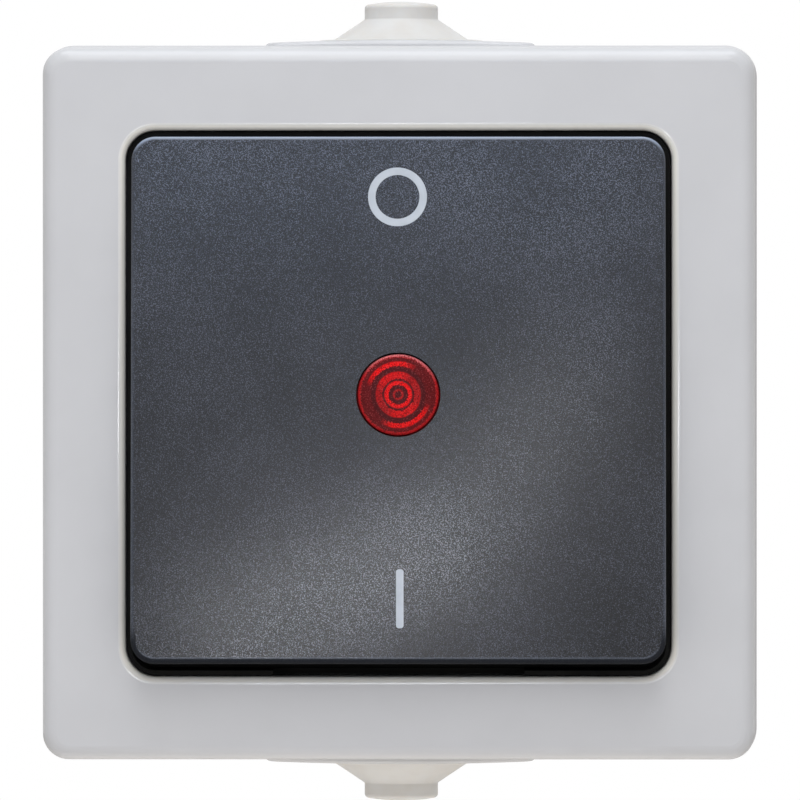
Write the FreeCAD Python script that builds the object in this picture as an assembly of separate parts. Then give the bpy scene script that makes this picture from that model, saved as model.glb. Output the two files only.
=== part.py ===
# Surface-mounted weatherproof rocker switch with a red pilot lens and two soft cable entries.
# It is drawn lying on its back: x to the right, y up the wall, z out of the wall, in millimetres.
# Each piece is turned upright when it is written, so that the wall becomes the plane y = 0.
import FreeCAD
import Part
import math
import os

from FreeCAD import Vector

# Cover: the pale square frame that shows from the front
COVER_SIDE = 66.0
COVER_SKIRT = 13.0
COVER_DRAFT = math.radians(2.5)
COVER_WALL = 1.9
COVER_TOP = 2.0
COVER_CORNER = 2.9
COVER_EDGE = 1.3
OPENING_SIDE = 49.8
OPENING_CORNER = 2.7
OPENING_EDGE = 0.7
COLLAR_WALL = 1.6
LEDGE_DROP = 7.0
LEDGE_THICK = 1.4
THROAT_SIDE = 34.0
THROAT_CORNER = 4.0

# Base box: the rear housing that is screwed to the wall
BASE_DEPTH = 33.0
BASE_WALL = 2.0
BASE_FLOOR = 2.2
BASE_DRAFT = math.radians(0.9)
BASE_CORNER = 2.4
BASE_FIT = 0.3
COVER_OVERLAP = 1.0
BACK_RECESS = 0.8
BACK_RIM = 3.0
WALL_HOLE_CIRCLE = 58.0
WALL_HOLE_R = 2.3
WALL_COLLAR_R = 4.6
WALL_COLLAR_RISE = 2.0

# Cable entries: a raised pad and a soft stepped grommet at the top and at the bottom
PAD_WIDTH = 25.2
PAD_Z0 = 3.0
PAD_Z1 = 27.0
PAD_RISE = 2.93
PAD_CROWN = 0.27
PAD_CORNER = 1.6
PAD_EDGE = 0.5
ENTRY_Z = 15.0
ENTRY_R = 6.2
GROMMET_FLANGE_R = 7.8
GROMMET_FLANGE = 0.25
GROMMET_CONE_R = 6.4
GROMMET_CONE = 1.95
GROMMET_TIP_R = 3.45
GROMMET_TIP = 1.73
GROMMET_TIP_DOME = 0.35
GROMMET_TIP_EDGE = 0.4
GROMMET_SKIN = 0.8
GROMMET_NECK_FIT = 0.1
GROMMET_INNER_LIP = 1.2

# Seals
GASKET_WIDTH = 1.5
GASKET_HEIGHT = 1.4
GASKET_CHAMFER = 0.3
SEAL_RIB = 1.0
INSERT_SEAL_WIDTH = 2.0
INSERT_SEAL_HEIGHT = 1.4
INSERT_SEAL_INSET = 0.5

# Inner frame: the black tray that lines the opening under the rocker
FRAME_FIT = 0.1
FRAME_RIM = 0.4
FRAME_RIM_DRAFT = math.radians(3.0)
FRAME_RIM_BELOW_FACE = 2.0
FRAME_FLOOR = 1.2
FRAME_LIP = 0.7
FRAME_LIP_WALL = 1.0
FRAME_LIP_GAP = 0.5
PRY_NOTCH_WIDTH = 23.0
PRY_NOTCH_SILL = 0.8

# Rocker: the dark tilting key
ROCKER_SIDE_GAP = 0.56
ROCKER_END_GAP = 0.85
ROCKER_RISE = 5.4
ROCKER_FLOOR_GAP = 0.3
ROCKER_PLATE = 1.8
ROCKER_WALL = 1.5
ROCKER_CORNER = 2.2
ROCKER_EDGE = 0.3
ROCKER_DRAFT = math.radians(3.5)
ROCKER_TILT = 4.0
PIVOT_BELOW_FACE = 3.1
ROCKER_RIB = 1.2
ROCKER_RIB_X = 18.0
CLIP_WIDTH = 9.0
CLIP_WALL = 1.2
CLIP_NOSE = 0.8
CLIP_GAP = 0.1

# Pilot lens
LENS_R = 3.78
LENS_FIT = 0.07
LENS_RISE = 0.45
LENS_DOME = 0.25
LENS_FLANGE_R = 4.6
LENS_FLANGE = 0.9
LENS_STEM_R = 2.6
LENS_STEM = 1.6
LENS_RINGS = (0.75, 1.5, 2.25)
LENS_RING_WIDTH = 0.37
LENS_RING_DEPTH = 0.35

# Insert: bearing bridge and contact socket
PLATE_SIDE = 41.0
PLATE_CORNER = 9.0
PLATE_THICK = 2.0
LUG_X = 25.0
LUG_HALF = 4.5
LUG_REACH = 3.0
EAR_WALL = 2.2
EAR_HALF = 4.0
EAR_ABOVE_PIVOT = 2.6
EAR_GAP = 0.3
TRUNNION_R = 2.0
TRUNNION_FIT = 0.05
SLOT_HALF = 7.8
SOCKET_DEPTH = 22.0
SOCKET_X = 29.0
SOCKET_Y = 34.0
SOCKET_CORNER = 1.5
POLE_X = 8.5
TROUGH_X = 8.0
TROUGH_Y = 30.4
WELL_FIT = 0.25
TRENCH_X = 5.2
TRENCH_FIT = 0.1

# Toggle, plungers and springs
TOGGLE_HALF_X = 11.8
TOGGLE_HALF_Y = 5.5
TOGGLE_TOP = 2.4
TOGGLE_BOTTOM = 3.4
WINDOW_X = 7.6
WINDOW_Y = 7.4
SLEEVE_R = 3.0
SLEEVE_REACH = 13.4
BORE_R = 1.85
BORE_ROOF = 0.6
PLUNGER_R = 1.75
PLUNGER_REACH = 20.0
PLUNGER_TIP_R = 1.0
PLUNGER_TAPER = 3.0
PLUNGER_IN_BORE = 4.0
SPRING_WIRE_R = 0.2
SPRING_COIL_R = 1.35
SPRING_TURNS = 5
SPRING_SEAT_GAP = 0.1

# Contacts: two rocking bridges on cradles, each closing on a fixed contact
SADDLE_ANGLE = math.radians(13.0)
SADDLE_RISE = 1.1
SADDLE_GAP = 0.3
CONTACT_SHEET = 0.8
CONTACT_WIDTH = 5.0
CONTACT_SHORT_ARM = 3.6
CONTACT_LONG_ARM = 7.8
RIVET_ARM = 6.3
RIVET_R = 1.4
RIVET_HEIGHT = 0.9
CONTACT_CLOSED_GAP = 0.1
FULCRUM_R = 0.5
FULCRUM_FIT = 0.05
FULCRUM_TAB = 1.0
FULCRUM_HEIGHT = 3.6
STRIP_WIDTH = 7.2
STRIP_END_GAP = 0.3
FIXED_STRIP_INSET = 1.6

# Terminals and screws
TERMINAL_Y = 12.3
CLAMP_X = 5.2
CLAMP_Y = 4.8
CLAMP_THICK = 1.2
WIRE_GAP = 1.7
WIRE_ENTRY_R = 1.7
TERMINAL_SCREW_R = 1.25
TERMINAL_SCREW_HEAD_R = 2.3
TERMINAL_SCREW_HEAD = 1.8
SCREW_R = 1.45
SCREW_HEAD_R = 2.75
SCREW_HEAD = 1.3
SCREW_FIT = 0.05
SCREW_GRIP = 9.0
SCREW_SLOT = 0.7
SCREW_SLOT_DEPTH = 0.8
POST_R = 3.4
BOSS_XY = 21.0
BOSS_R = 3.2
BOSS_GAP = 0.2
POST_WEB = 2.0

# Pilot lamp, its leads and its resistor
LAMP_R = 2.7
LAMP_LENGTH = 12.4
LAMP_BELOW_PIVOT = 2.1
LEAD_R = 0.25
LEAD_X = 1.25
LEAD_DROP = 1.2
LEAD_WALL_GAP = 0.45
RESISTOR_R = 0.95
RESISTOR_LENGTH = 5.0

# Heights that follow from the stack of pieces on the base
COVER_REAR = BASE_DEPTH - COVER_OVERLAP
COVER_FRONT = COVER_REAR + COVER_SKIRT
LEDGE_Z1 = COVER_FRONT - LEDGE_DROP
LEDGE_Z0 = LEDGE_Z1 - LEDGE_THICK
PLATE_Z1 = LEDGE_Z0 - INSERT_SEAL_HEIGHT
PLATE_Z0 = PLATE_Z1 - PLATE_THICK
SOCKET_Z0 = PLATE_Z0 - SOCKET_DEPTH
PIVOT_Z = COVER_FRONT - PIVOT_BELOW_FACE
FACE_Z = PIVOT_Z + ROCKER_RISE
FRAME_FLOOR_Z = LEDGE_Z1 + FRAME_FLOOR
FRAME_RIM_Z = COVER_FRONT - FRAME_RIM_BELOW_FACE

# Widths that follow from the cover and the opening
COVER_INNER = COVER_SIDE - 2 * COVER_WALL
BASE_SIDE = COVER_INNER - 2 * (COVER_OVERLAP * math.tan(COVER_DRAFT) + BASE_FIT)
PAD_REACH = BASE_SIDE / 2 + PAD_RISE
RIM_MIDDLE = BASE_SIDE - BASE_WALL
FRAME_SIDE = OPENING_SIDE - 2 * FRAME_FIT
FRAME_CORNER = OPENING_CORNER - FRAME_FIT
ROCKER_X = OPENING_SIDE - 2 * ROCKER_SIDE_GAP
ROCKER_Y = OPENING_SIDE - 2 * ROCKER_END_GAP
WELL_R = LAMP_R + WELL_FIT

# The rocker's skirt ends just above the tray's floor where it is pressed in
TILT = math.radians(ROCKER_TILT)
SKIRT_Z = FRAME_FLOOR_Z + ROCKER_FLOOR_GAP + ROCKER_Y / 2 * math.sin(TILT)

# The rocking contact turns about its fulcrum, under the tip of the sprung plunger
FULCRUM_Z = (
    PIVOT_Z
    - PLUNGER_REACH * math.cos(TILT)
    - PLUNGER_TIP_R
    - SADDLE_RISE * math.cos(SADDLE_ANGLE)
    - SADDLE_GAP
)
CRADLE_Z = FULCRUM_Z - FULCRUM_HEIGHT
UNDERSIDE = SADDLE_RISE - CONTACT_SHEET / math.cos(SADDLE_ANGLE)
CLOSED_UNDERSIDE = UNDERSIDE * math.cos(SADDLE_ANGLE)
CLOSED_RIVET_Y = RIVET_ARM / math.cos(SADDLE_ANGLE) + UNDERSIDE * math.sin(SADDLE_ANGLE)
FIXED_STRIP_Y = CLOSED_RIVET_Y - RIVET_R - FIXED_STRIP_INSET / 2
FIXED_Z = (
    FULCRUM_Z
    + CLOSED_UNDERSIDE
    - 2 * RIVET_HEIGHT
    - CONTACT_CLOSED_GAP
    - CONTACT_SHEET
)

EPS = 1.0  # how far a cutting tool runs past the face that it cuts


def rounded_outline(width, height, corner, z):
    """Closed wire of a rounded rectangle about the z axis."""
    x, y = width / 2, height / 2
    bow = corner * (1 - math.sqrt(0.5))
    edges = []
    for sx, sy in ((1, 1), (-1, 1), (-1, -1), (1, -1)):
        on_side = Vector(sx * x, sy * (y - corner), z)
        on_end = Vector(sx * (x - corner), sy * y, z)
        middle = Vector(sx * (x - bow), sy * (y - bow), z)
        first, last = (on_side, on_end) if sx * sy > 0 else (on_end, on_side)
        edges.append(Part.Arc(first, middle, last).toShape())
    wire = []
    for arc, following in zip(edges, edges[1:] + edges[:1]):
        wire += [arc, Part.makeLine(arc.lastVertex().Point, following.firstVertex().Point)]
    return Part.Wire(wire)


def plate(width, height, corner, z0, z1):
    """Prism with a rounded-rectangle outline."""
    return Part.Face(rounded_outline(width, height, corner, z0)).extrude(Vector(0, 0, z1 - z0))


def drafted(width, height, corner, z0, z1, draft):
    """Block whose four walls lean inwards by the draft angle, going out from z0."""
    lean = (z1 - z0) * math.tan(draft)
    far = rounded_outline(width - 2 * lean, height - 2 * lean, corner - lean, z1)
    return Part.makeLoft([rounded_outline(width, height, corner, z0), far], True, True)


def ring(side, wall, corner, z0, z1):
    """Square ring whose wall is centred on the given side."""
    outer = plate(side + wall, side + wall, corner + wall / 2, z0, z1)
    return outer.cut(plate(side - wall, side - wall, corner - wall / 2, z0 - EPS, z1 + EPS))


def box(x0, x1, y0, y1, z0, z1):
    return Part.makeBox(x1 - x0, y1 - y0, z1 - z0, Vector(x0, y0, z0))


def rod(radius, x, y, z0, z1):
    return Part.makeCylinder(radius, z1 - z0, Vector(x, y, z0))


def turned(profile):
    """Solid of revolution about the z axis from points given as (radius, z)."""
    points = [Vector(r, 0, z) for r, z in profile]
    face = Part.Face(Part.makePolygon(points + points[:1]))
    return face.revolve(Vector(0, 0, 0), Vector(0, 0, 1), 360)


def low_dome(radius, rise, z):
    """Cap of a ball that stands on the plane z."""
    ball_r = (radius**2 + rise**2) / (2 * rise)
    ball = Part.makeSphere(ball_r, Vector(0, 0, z + rise - ball_r))
    return ball.common(rod(radius, 0, 0, z, z + rise + EPS))


def edges_at(shape, z, reach=None):
    """Edges that lie in the plane z, or those of them within reach of the z axis on both sides."""
    found = []
    for edge in shape.Edges:
        b = edge.BoundBox
        flat = abs(b.ZMin - z) < 1e-6 and abs(b.ZMax - z) < 1e-6
        if flat and (reach is None or max(b.XMax, b.YMax, -b.XMin, -b.YMin) < reach):
            found.append(edge)
    return found


def facing_up_the_wall(shape, z):
    """Turns a piece drawn along z so that it points up the wall, at height z above it."""
    shape = shape.copy()
    shape.rotate(Vector(0, 0, 0), Vector(1, 0, 0), -90)
    shape.translate(Vector(0, 0, z))
    return shape


def half_turn(shape):
    """The same piece at the opposite end of the box."""
    shape = shape.copy()
    shape.rotate(Vector(0, 0, 0), Vector(0, 0, 1), 180)
    return shape


def tilted(shape):
    """A piece of the rocker, turned about the pivot with its upper end pressed in."""
    shape = shape.copy()
    shape.rotate(Vector(0, 0, PIVOT_Z), Vector(1, 0, 0), -ROCKER_TILT)
    return shape


def moved(shape, x, y, z):
    shape = shape.copy()
    shape.translate(Vector(x, y, z))
    return shape


def boss_points():
    return [(-BOSS_XY, BOSS_XY), (BOSS_XY, -BOSS_XY)]


def lug_points():
    return [(-LUG_X, 0.0), (LUG_X, 0.0)]


def wall_hole_points():
    offset = WALL_HOLE_CIRCLE / 2 * math.sqrt(0.5)
    return [(offset, offset), (-offset, -offset)]


def terminal_points():
    return [(sx * POLE_X, sy * TERMINAL_Y) for sx in (-1, 1) for sy in (-1, 1)]


def entry_block(width, depth, corner, reach, edge):
    """Block through the box from the lower entry pad to the upper one."""
    block = plate(width, depth, corner, -reach, reach)
    if edge:
        block = crowned(block, width, depth, reach)
        crest = [e for e in block.Edges if e.BoundBox.ZLength < reach]
        block = block.makeFillet(edge, crest)
    return facing_up_the_wall(block, (PAD_Z0 + PAD_Z1) / 2)


def crowned(block, width, depth, reach):
    """Block whose two end faces are arched across its width."""
    half = width / 2
    radius = (half**2 + PAD_CROWN**2) / (2 * PAD_CROWN)
    for side in (-1, 1):
        base = Vector(0, -depth, side * (reach - radius))
        drum = Part.makeCylinder(radius, 2 * depth, base, Vector(0, 1, 0))
        block = block.common(drum)
    return block


def base_box():
    rear_lean = BASE_DEPTH * math.tan(BASE_DRAFT)
    rear_side = BASE_SIDE - 2 * rear_lean
    body = drafted(rear_side, rear_side, BASE_CORNER, 0, BASE_DEPTH, -BASE_DRAFT)
    body = body.fuse(entry_block(PAD_WIDTH, PAD_Z1 - PAD_Z0, PAD_CORNER, PAD_REACH, PAD_EDGE))
    inner_side = rear_side - 2 * BASE_WALL + 2 * BASE_FLOOR * math.tan(BASE_DRAFT)
    inner_corner = BASE_CORNER / 2
    hollow = drafted(inner_side, inner_side, inner_corner, BASE_FLOOR, BASE_DEPTH + EPS, -BASE_DRAFT)
    pad_hollow = entry_block(
        PAD_WIDTH - 2 * BASE_WALL,
        PAD_Z1 - PAD_Z0 - 2 * BASE_WALL,
        PAD_CORNER / 2,
        PAD_REACH - BASE_WALL,
        0,
    )
    body = body.cut(hollow.fuse(pad_hollow))
    rear_pocket = plate(
        rear_side - 2 * BACK_RIM, rear_side - 2 * BACK_RIM, BASE_CORNER, -EPS, BACK_RECESS
    )
    body = body.cut(rear_pocket)
    inside = inner_side / 2 + BASE_WALL / 2
    web_z = (BASE_FLOOR / 2, BASE_DEPTH - BASE_WALL)
    solids = []
    for x, y in wall_hole_points():
        solids.append(rod(WALL_COLLAR_R, x, y, 0, BASE_FLOOR + WALL_COLLAR_RISE))
    for x, y in lug_points():
        solids.append(rod(POST_R, x, y, BASE_FLOOR / 2, PLATE_Z0))
        web = sorted((x, math.copysign(inside, x)))
        solids.append(box(*web, -POST_WEB / 2, POST_WEB / 2, *web_z))
    for x, y in boss_points():
        solids.append(rod(BOSS_R, x, y, BASE_FLOOR / 2, LEDGE_Z0 - BOSS_GAP))
        web = sorted((x, math.copysign(inside, x)))
        solids.append(box(*web, y - POST_WEB / 2, y + POST_WEB / 2, *web_z))
    body = body.fuse(solids)
    holes = [facing_up_the_wall(rod(ENTRY_R, 0, 0, -PAD_REACH - EPS, PAD_REACH + EPS), ENTRY_Z)]
    for x, y in wall_hole_points():
        holes.append(rod(WALL_HOLE_R, x, y, -EPS, BASE_FLOOR + WALL_COLLAR_RISE + EPS))
    screw_r = SCREW_R + SCREW_FIT
    for x, y in lug_points():
        holes.append(rod(screw_r, x, y, PLATE_Z1 - SCREW_GRIP - EPS, PLATE_Z0 + EPS))
    for x, y in boss_points():
        holes.append(rod(screw_r, x, y, FRAME_FLOOR_Z - 2 * SCREW_GRIP - EPS, LEDGE_Z0 + EPS))
    return body.cut(Part.makeCompound(holes)).removeSplitter()


def grommet():
    """Soft cable entry, drawn along z from the outer face of its pad."""
    cone_z = GROMMET_FLANGE + GROMMET_CONE
    tip_z = cone_z + GROMMET_TIP - GROMMET_TIP_DOME
    neck_r = ENTRY_R - GROMMET_NECK_FIT
    lip_z = -BASE_WALL - GROMMET_INNER_LIP
    body = turned([
        (0, lip_z),
        (GROMMET_FLANGE_R, lip_z),
        (GROMMET_FLANGE_R, -BASE_WALL),
        (neck_r, -BASE_WALL),
        (neck_r, 0),
        (GROMMET_FLANGE_R, 0),
        (GROMMET_FLANGE_R, GROMMET_FLANGE),
        (GROMMET_CONE_R, GROMMET_FLANGE),
        (GROMMET_TIP_R, cone_z),
        (GROMMET_TIP_R, tip_z),
        (0, tip_z),
    ])
    body = body.fuse(low_dome(GROMMET_TIP_R, GROMMET_TIP_DOME, tip_z)).removeSplitter()
    body = body.makeFillet(GROMMET_TIP_EDGE, edges_at(body, tip_z))
    bore_r = GROMMET_TIP_R - GROMMET_SKIN
    hollow = turned([
        (0, lip_z - EPS),
        (neck_r - GROMMET_SKIN, lip_z - EPS),
        (neck_r - GROMMET_SKIN, 0),
        (bore_r, cone_z - GROMMET_SKIN),
        (bore_r, tip_z - GROMMET_SKIN),
        (0, tip_z - GROMMET_SKIN),
    ])
    return moved(facing_up_the_wall(body.cut(hollow), ENTRY_Z), 0, PAD_REACH, 0)


def cover_gasket():
    seal = ring(RIM_MIDDLE, GASKET_WIDTH, BASE_CORNER, BASE_DEPTH, BASE_DEPTH + GASKET_HEIGHT)
    return seal.makeChamfer(GASKET_CHAMFER, edges_at(seal, BASE_DEPTH + GASKET_HEIGHT))


def cover_frame():
    side, corner = COVER_SIDE, COVER_CORNER
    cover = drafted(side, side, corner, COVER_REAR, COVER_FRONT, COVER_DRAFT)
    cover = cover.makeFillet(COVER_EDGE, edges_at(cover, COVER_FRONT))
    under_top = COVER_FRONT - COVER_TOP
    lead_in = EPS * math.tan(COVER_DRAFT)
    cover = cover.cut(drafted(
        COVER_INNER + 2 * lead_in,
        COVER_INNER + 2 * lead_in,
        COVER_CORNER / 2 + lead_in,
        COVER_REAR - EPS,
        under_top,
        COVER_DRAFT,
    ))
    collar_side = OPENING_SIDE + 2 * COLLAR_WALL
    collar = plate(collar_side, collar_side, OPENING_CORNER + COLLAR_WALL, LEDGE_Z0, under_top)
    rib = ring(RIM_MIDDLE, SEAL_RIB, BASE_CORNER, BASE_DEPTH + GASKET_HEIGHT, under_top)
    cover = cover.fuse([collar, rib])
    cover = cover.cut(plate(OPENING_SIDE, OPENING_SIDE, OPENING_CORNER, LEDGE_Z1, COVER_FRONT + EPS))
    holes = [plate(THROAT_SIDE, THROAT_SIDE, THROAT_CORNER, LEDGE_Z0 - EPS, LEDGE_Z1 + EPS)]
    for x, y in boss_points():
        holes.append(moved(screw_hole(), x, y, FRAME_FLOOR_Z))
    cover = cover.cut(Part.makeCompound(holes)).removeSplitter()
    rim = edges_at(cover, COVER_FRONT, OPENING_SIDE / 2 + OPENING_EDGE)
    return cover.makeFillet(OPENING_EDGE, rim)


def inner_frame():
    tray = plate(FRAME_SIDE, FRAME_SIDE, FRAME_CORNER, LEDGE_Z1, FRAME_RIM_Z)
    bay_side = FRAME_SIDE - 2 * FRAME_RIM
    rise = FRAME_RIM_Z - FRAME_FLOOR_Z
    lean = rise * math.tan(FRAME_RIM_DRAFT)
    bay_corner = FRAME_CORNER - FRAME_RIM
    bay = drafted(
        bay_side - 2 * lean,
        bay_side - 2 * lean,
        bay_corner - lean,
        FRAME_FLOOR_Z,
        FRAME_RIM_Z,
        -FRAME_RIM_DRAFT,
    )
    tray = tray.cut(bay)
    mouth = THROAT_SIDE - 2 * FRAME_LIP_GAP
    lip_corner = THROAT_CORNER - FRAME_LIP_GAP
    lip_z = FRAME_FLOOR_Z + FRAME_LIP
    lip_middle = lip_corner + FRAME_LIP_WALL / 2
    tray = tray.fuse(ring(mouth + FRAME_LIP_WALL, FRAME_LIP_WALL, lip_middle, LEDGE_Z1, lip_z))
    cuts = [plate(mouth, mouth, lip_corner, LEDGE_Z1 - EPS, lip_z + EPS)]
    cuts.append(box(
        -PRY_NOTCH_WIDTH / 2,
        PRY_NOTCH_WIDTH / 2,
        -FRAME_SIDE / 2 - EPS,
        -bay_side / 2 + lean + FRAME_RIM,
        FRAME_FLOOR_Z + PRY_NOTCH_SILL,
        FRAME_RIM_Z + EPS,
    ))
    for x, y in boss_points():
        cuts.append(moved(screw_hole(), x, y, FRAME_FLOOR_Z))
    return tray.cut(Part.makeCompound(cuts)).removeSplitter()


def insert_seal():
    side = THROAT_SIDE + 2 * INSERT_SEAL_INSET + INSERT_SEAL_WIDTH
    return ring(side, INSERT_SEAL_WIDTH, PLATE_CORNER - INSERT_SEAL_WIDTH, PLATE_Z1, LEDGE_Z0)


def screw_hole():
    """Countersunk clearance hole with its mouth at z = 0, going down."""
    return turned([
        (0, EPS),
        (SCREW_HEAD_R + SCREW_FIT, EPS),
        (SCREW_HEAD_R + SCREW_FIT, 0),
        (SCREW_R + SCREW_FIT, -SCREW_HEAD),
        (SCREW_R + SCREW_FIT, -2 * SCREW_GRIP),
        (0, -2 * SCREW_GRIP),
    ])


def countersunk_screw(length):
    screw = turned([
        (0, 0),
        (SCREW_HEAD_R, 0),
        (SCREW_R, -SCREW_HEAD),
        (SCREW_R, SCREW_R / 2 - length),
        (SCREW_R / 2, -length),
        (0, -length),
    ])
    half = SCREW_SLOT / 2
    reach = SCREW_HEAD_R + EPS
    return screw.cut(box(-reach, reach, -half, half, -SCREW_SLOT_DEPTH, EPS))


def cover_screws():
    screw = countersunk_screw(2 * SCREW_GRIP)
    return Part.makeCompound([moved(screw, x, y, FRAME_FLOOR_Z) for x, y in boss_points()])


def insert_screws():
    screw = countersunk_screw(SCREW_GRIP)
    return Part.makeCompound([moved(screw, x, y, PLATE_Z1) for x, y in lug_points()])


def rocker_key():
    """The key drawn level about its pivot, hollow underneath, with ribs and two clips for the toggle."""
    lean = (FACE_Z - SKIRT_Z) * math.tan(ROCKER_DRAFT)
    key = drafted(
        ROCKER_X - 2 * lean, ROCKER_Y - 2 * lean, ROCKER_CORNER - lean, SKIRT_Z, FACE_Z, -ROCKER_DRAFT
    )
    key = key.makeFillet(ROCKER_EDGE, edges_at(key, FACE_Z))
    under = FACE_Z - ROCKER_PLATE
    wall = 2 * (lean + ROCKER_WALL)
    hollow = drafted(
        ROCKER_X - wall,
        ROCKER_Y - wall,
        ROCKER_CORNER / 2,
        SKIRT_Z - EPS,
        under,
        0,
    )
    key = key.cut(hollow)
    added = []
    for x in (-ROCKER_RIB_X, ROCKER_RIB_X):
        added.append(box(
            x - ROCKER_RIB / 2, x + ROCKER_RIB / 2, -ROCKER_Y / 2 + ROCKER_WALL, ROCKER_Y / 2 - ROCKER_WALL,
            (SKIRT_Z + under) / 2, FACE_Z - ROCKER_PLATE / 2,
        ))
    toggle_top = PIVOT_Z + TOGGLE_TOP
    toggle_bottom = PIVOT_Z - TOGGLE_BOTTOM
    for x in (-POLE_X, POLE_X):
        added.append(box(
            x - BORE_R, x + BORE_R, -TOGGLE_HALF_Y, TOGGLE_HALF_Y, toggle_top, FACE_Z - ROCKER_PLATE / 2
        ))
    leg = TOGGLE_HALF_Y + CLIP_GAP
    nose_z = toggle_bottom - CLIP_GAP
    for side in (-1, 1):
        clip = [
            Vector(-CLIP_WIDTH / 2, side * (leg + CLIP_WALL), FACE_Z - ROCKER_PLATE / 2),
            Vector(-CLIP_WIDTH / 2, side * leg, FACE_Z - ROCKER_PLATE / 2),
            Vector(-CLIP_WIDTH / 2, side * leg, nose_z),
            Vector(-CLIP_WIDTH / 2, side * (leg - CLIP_NOSE), nose_z),
            Vector(-CLIP_WIDTH / 2, side * leg, nose_z - CLIP_NOSE),
            Vector(-CLIP_WIDTH / 2, side * (leg + CLIP_WALL), nose_z - CLIP_NOSE),
        ]
        added.append(Part.Face(Part.makePolygon(clip + clip[:1])).extrude(Vector(CLIP_WIDTH, 0, 0)))
    key = key.fuse(added)
    return key.cut(rod(LENS_R + LENS_FIT, 0, LENS_RISE, under - EPS, FACE_Z + EPS)).removeSplitter()


def rocker():
    return tilted(rocker_key())


def lens():
    """Red pilot lens: a low dome, a flange under the rocker's plate and a ringed light guide."""
    under = -ROCKER_PLATE
    flange_z = under - LENS_FLANGE
    stem_z = flange_z - LENS_STEM
    body = turned([
        (0, stem_z),
        (LENS_STEM_R, stem_z),
        (LENS_STEM_R, flange_z),
        (LENS_FLANGE_R, flange_z),
        (LENS_FLANGE_R, under),
        (LENS_R, under),
        (LENS_R, 0),
        (0, 0),
    ])
    body = body.fuse(low_dome(LENS_R, LENS_DOME, 0))
    half = LENS_RING_WIDTH / 2
    grooves = [
        turned([(r - half, stem_z), (r, stem_z + LENS_RING_DEPTH), (r + half, stem_z)]) for r in LENS_RINGS
    ]
    body = body.cut(Part.makeCompound(grooves)).removeSplitter()
    return tilted(moved(body, 0, LENS_RISE, FACE_Z))


def bearing_bridge():
    """Top plate of the insert, with screw lugs and the two ears that carry the toggle."""
    bridge = plate(PLATE_SIDE, PLATE_SIDE, PLATE_CORNER, PLATE_Z0, PLATE_Z1)
    lug_length = 2 * (LUG_X + LUG_REACH)
    bridge = bridge.fuse(plate(lug_length, 2 * LUG_HALF, LUG_REACH, PLATE_Z0, PLATE_Z1))
    ear_x = TOGGLE_HALF_X + EAR_GAP
    ear_top = PIVOT_Z + EAR_ABOVE_PIVOT
    bridge = bridge.cut(box(-ear_x, ear_x, -SLOT_HALF, SLOT_HALF, PLATE_Z0 - EPS, PLATE_Z1 + EPS))
    ears = []
    for side in (-1, 1):
        x0, x1 = sorted((side * ear_x, side * (ear_x + EAR_WALL)))
        ear = box(x0, x1, -EAR_HALF, EAR_HALF, PLATE_Z0 + PLATE_THICK / 2, ear_top)
        top = [e for e in edges_at(ear, ear_top) if e.BoundBox.XLength > EAR_WALL / 2]
        ears.append(ear.makeFillet(EAR_HALF / 2, top))
    bridge = bridge.fuse(ears)
    across = ear_x + EAR_WALL + EPS
    cuts = [Part.makeCylinder(
        TRUNNION_R + TRUNNION_FIT, 2 * across, Vector(-across, 0, PIVOT_Z), Vector(1, 0, 0)
    )]
    for x, y in lug_points():
        cuts.append(moved(screw_hole(), x, y, PLATE_Z1))
    for x, y in terminal_points():
        cuts.append(rod(TERMINAL_SCREW_HEAD_R, x, y, PLATE_Z0 - EPS, PLATE_Z1 + EPS))
    return bridge.cut(Part.makeCompound(cuts)).removeSplitter()


def switch_socket():
    """Insulating block with a trough for each pole, a well for the lamp and four wire entries."""
    block = plate(SOCKET_X, SOCKET_Y, SOCKET_CORNER, SOCKET_Z0, PLATE_Z0)
    top = PLATE_Z0 + EPS
    cuts = []
    for x in (-POLE_X, POLE_X):
        x0, x1 = x - TROUGH_X / 2, x + TROUGH_X / 2
        cuts.append(box(x0, x1, -TROUGH_Y / 2, FIXED_STRIP_Y, CRADLE_Z, top))
        cuts.append(box(x0, x1, FIXED_STRIP_Y, TROUGH_Y / 2, FIXED_Z, top))
        for side, floor in ((-1, CRADLE_Z), (1, FIXED_Z)):
            entry_z = floor + CONTACT_SHEET + WIRE_ENTRY_R
            hole = facing_up_the_wall(rod(WIRE_ENTRY_R, 0, 0, 0, SOCKET_Y / 2 + EPS), 0)
            hole = hole if side > 0 else half_turn(hole)
            cuts.append(moved(hole, x, 0, entry_z))
            cuts.append(rod(TERMINAL_SCREW_R + SCREW_FIT, x, side * TERMINAL_Y, SOCKET_Z0 + EPS, top))
    floor = lamp_base_z() - LEAD_DROP - RESISTOR_R - TRENCH_FIT
    cuts.append(rod(WELL_R, 0, 0, floor, top))
    turn0, turn1 = lead_turn_y() - 3 * LEAD_R, lead_turn_y() + 3 * LEAD_R
    cuts.append(box(-TRENCH_X / 2, TRENCH_X / 2, 0, turn1, floor, top))
    cuts.append(box(-POLE_X, POLE_X, turn0, turn1, floor, top))
    return block.cut(cuts[0].fuse(cuts[1:])).removeSplitter()


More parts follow.
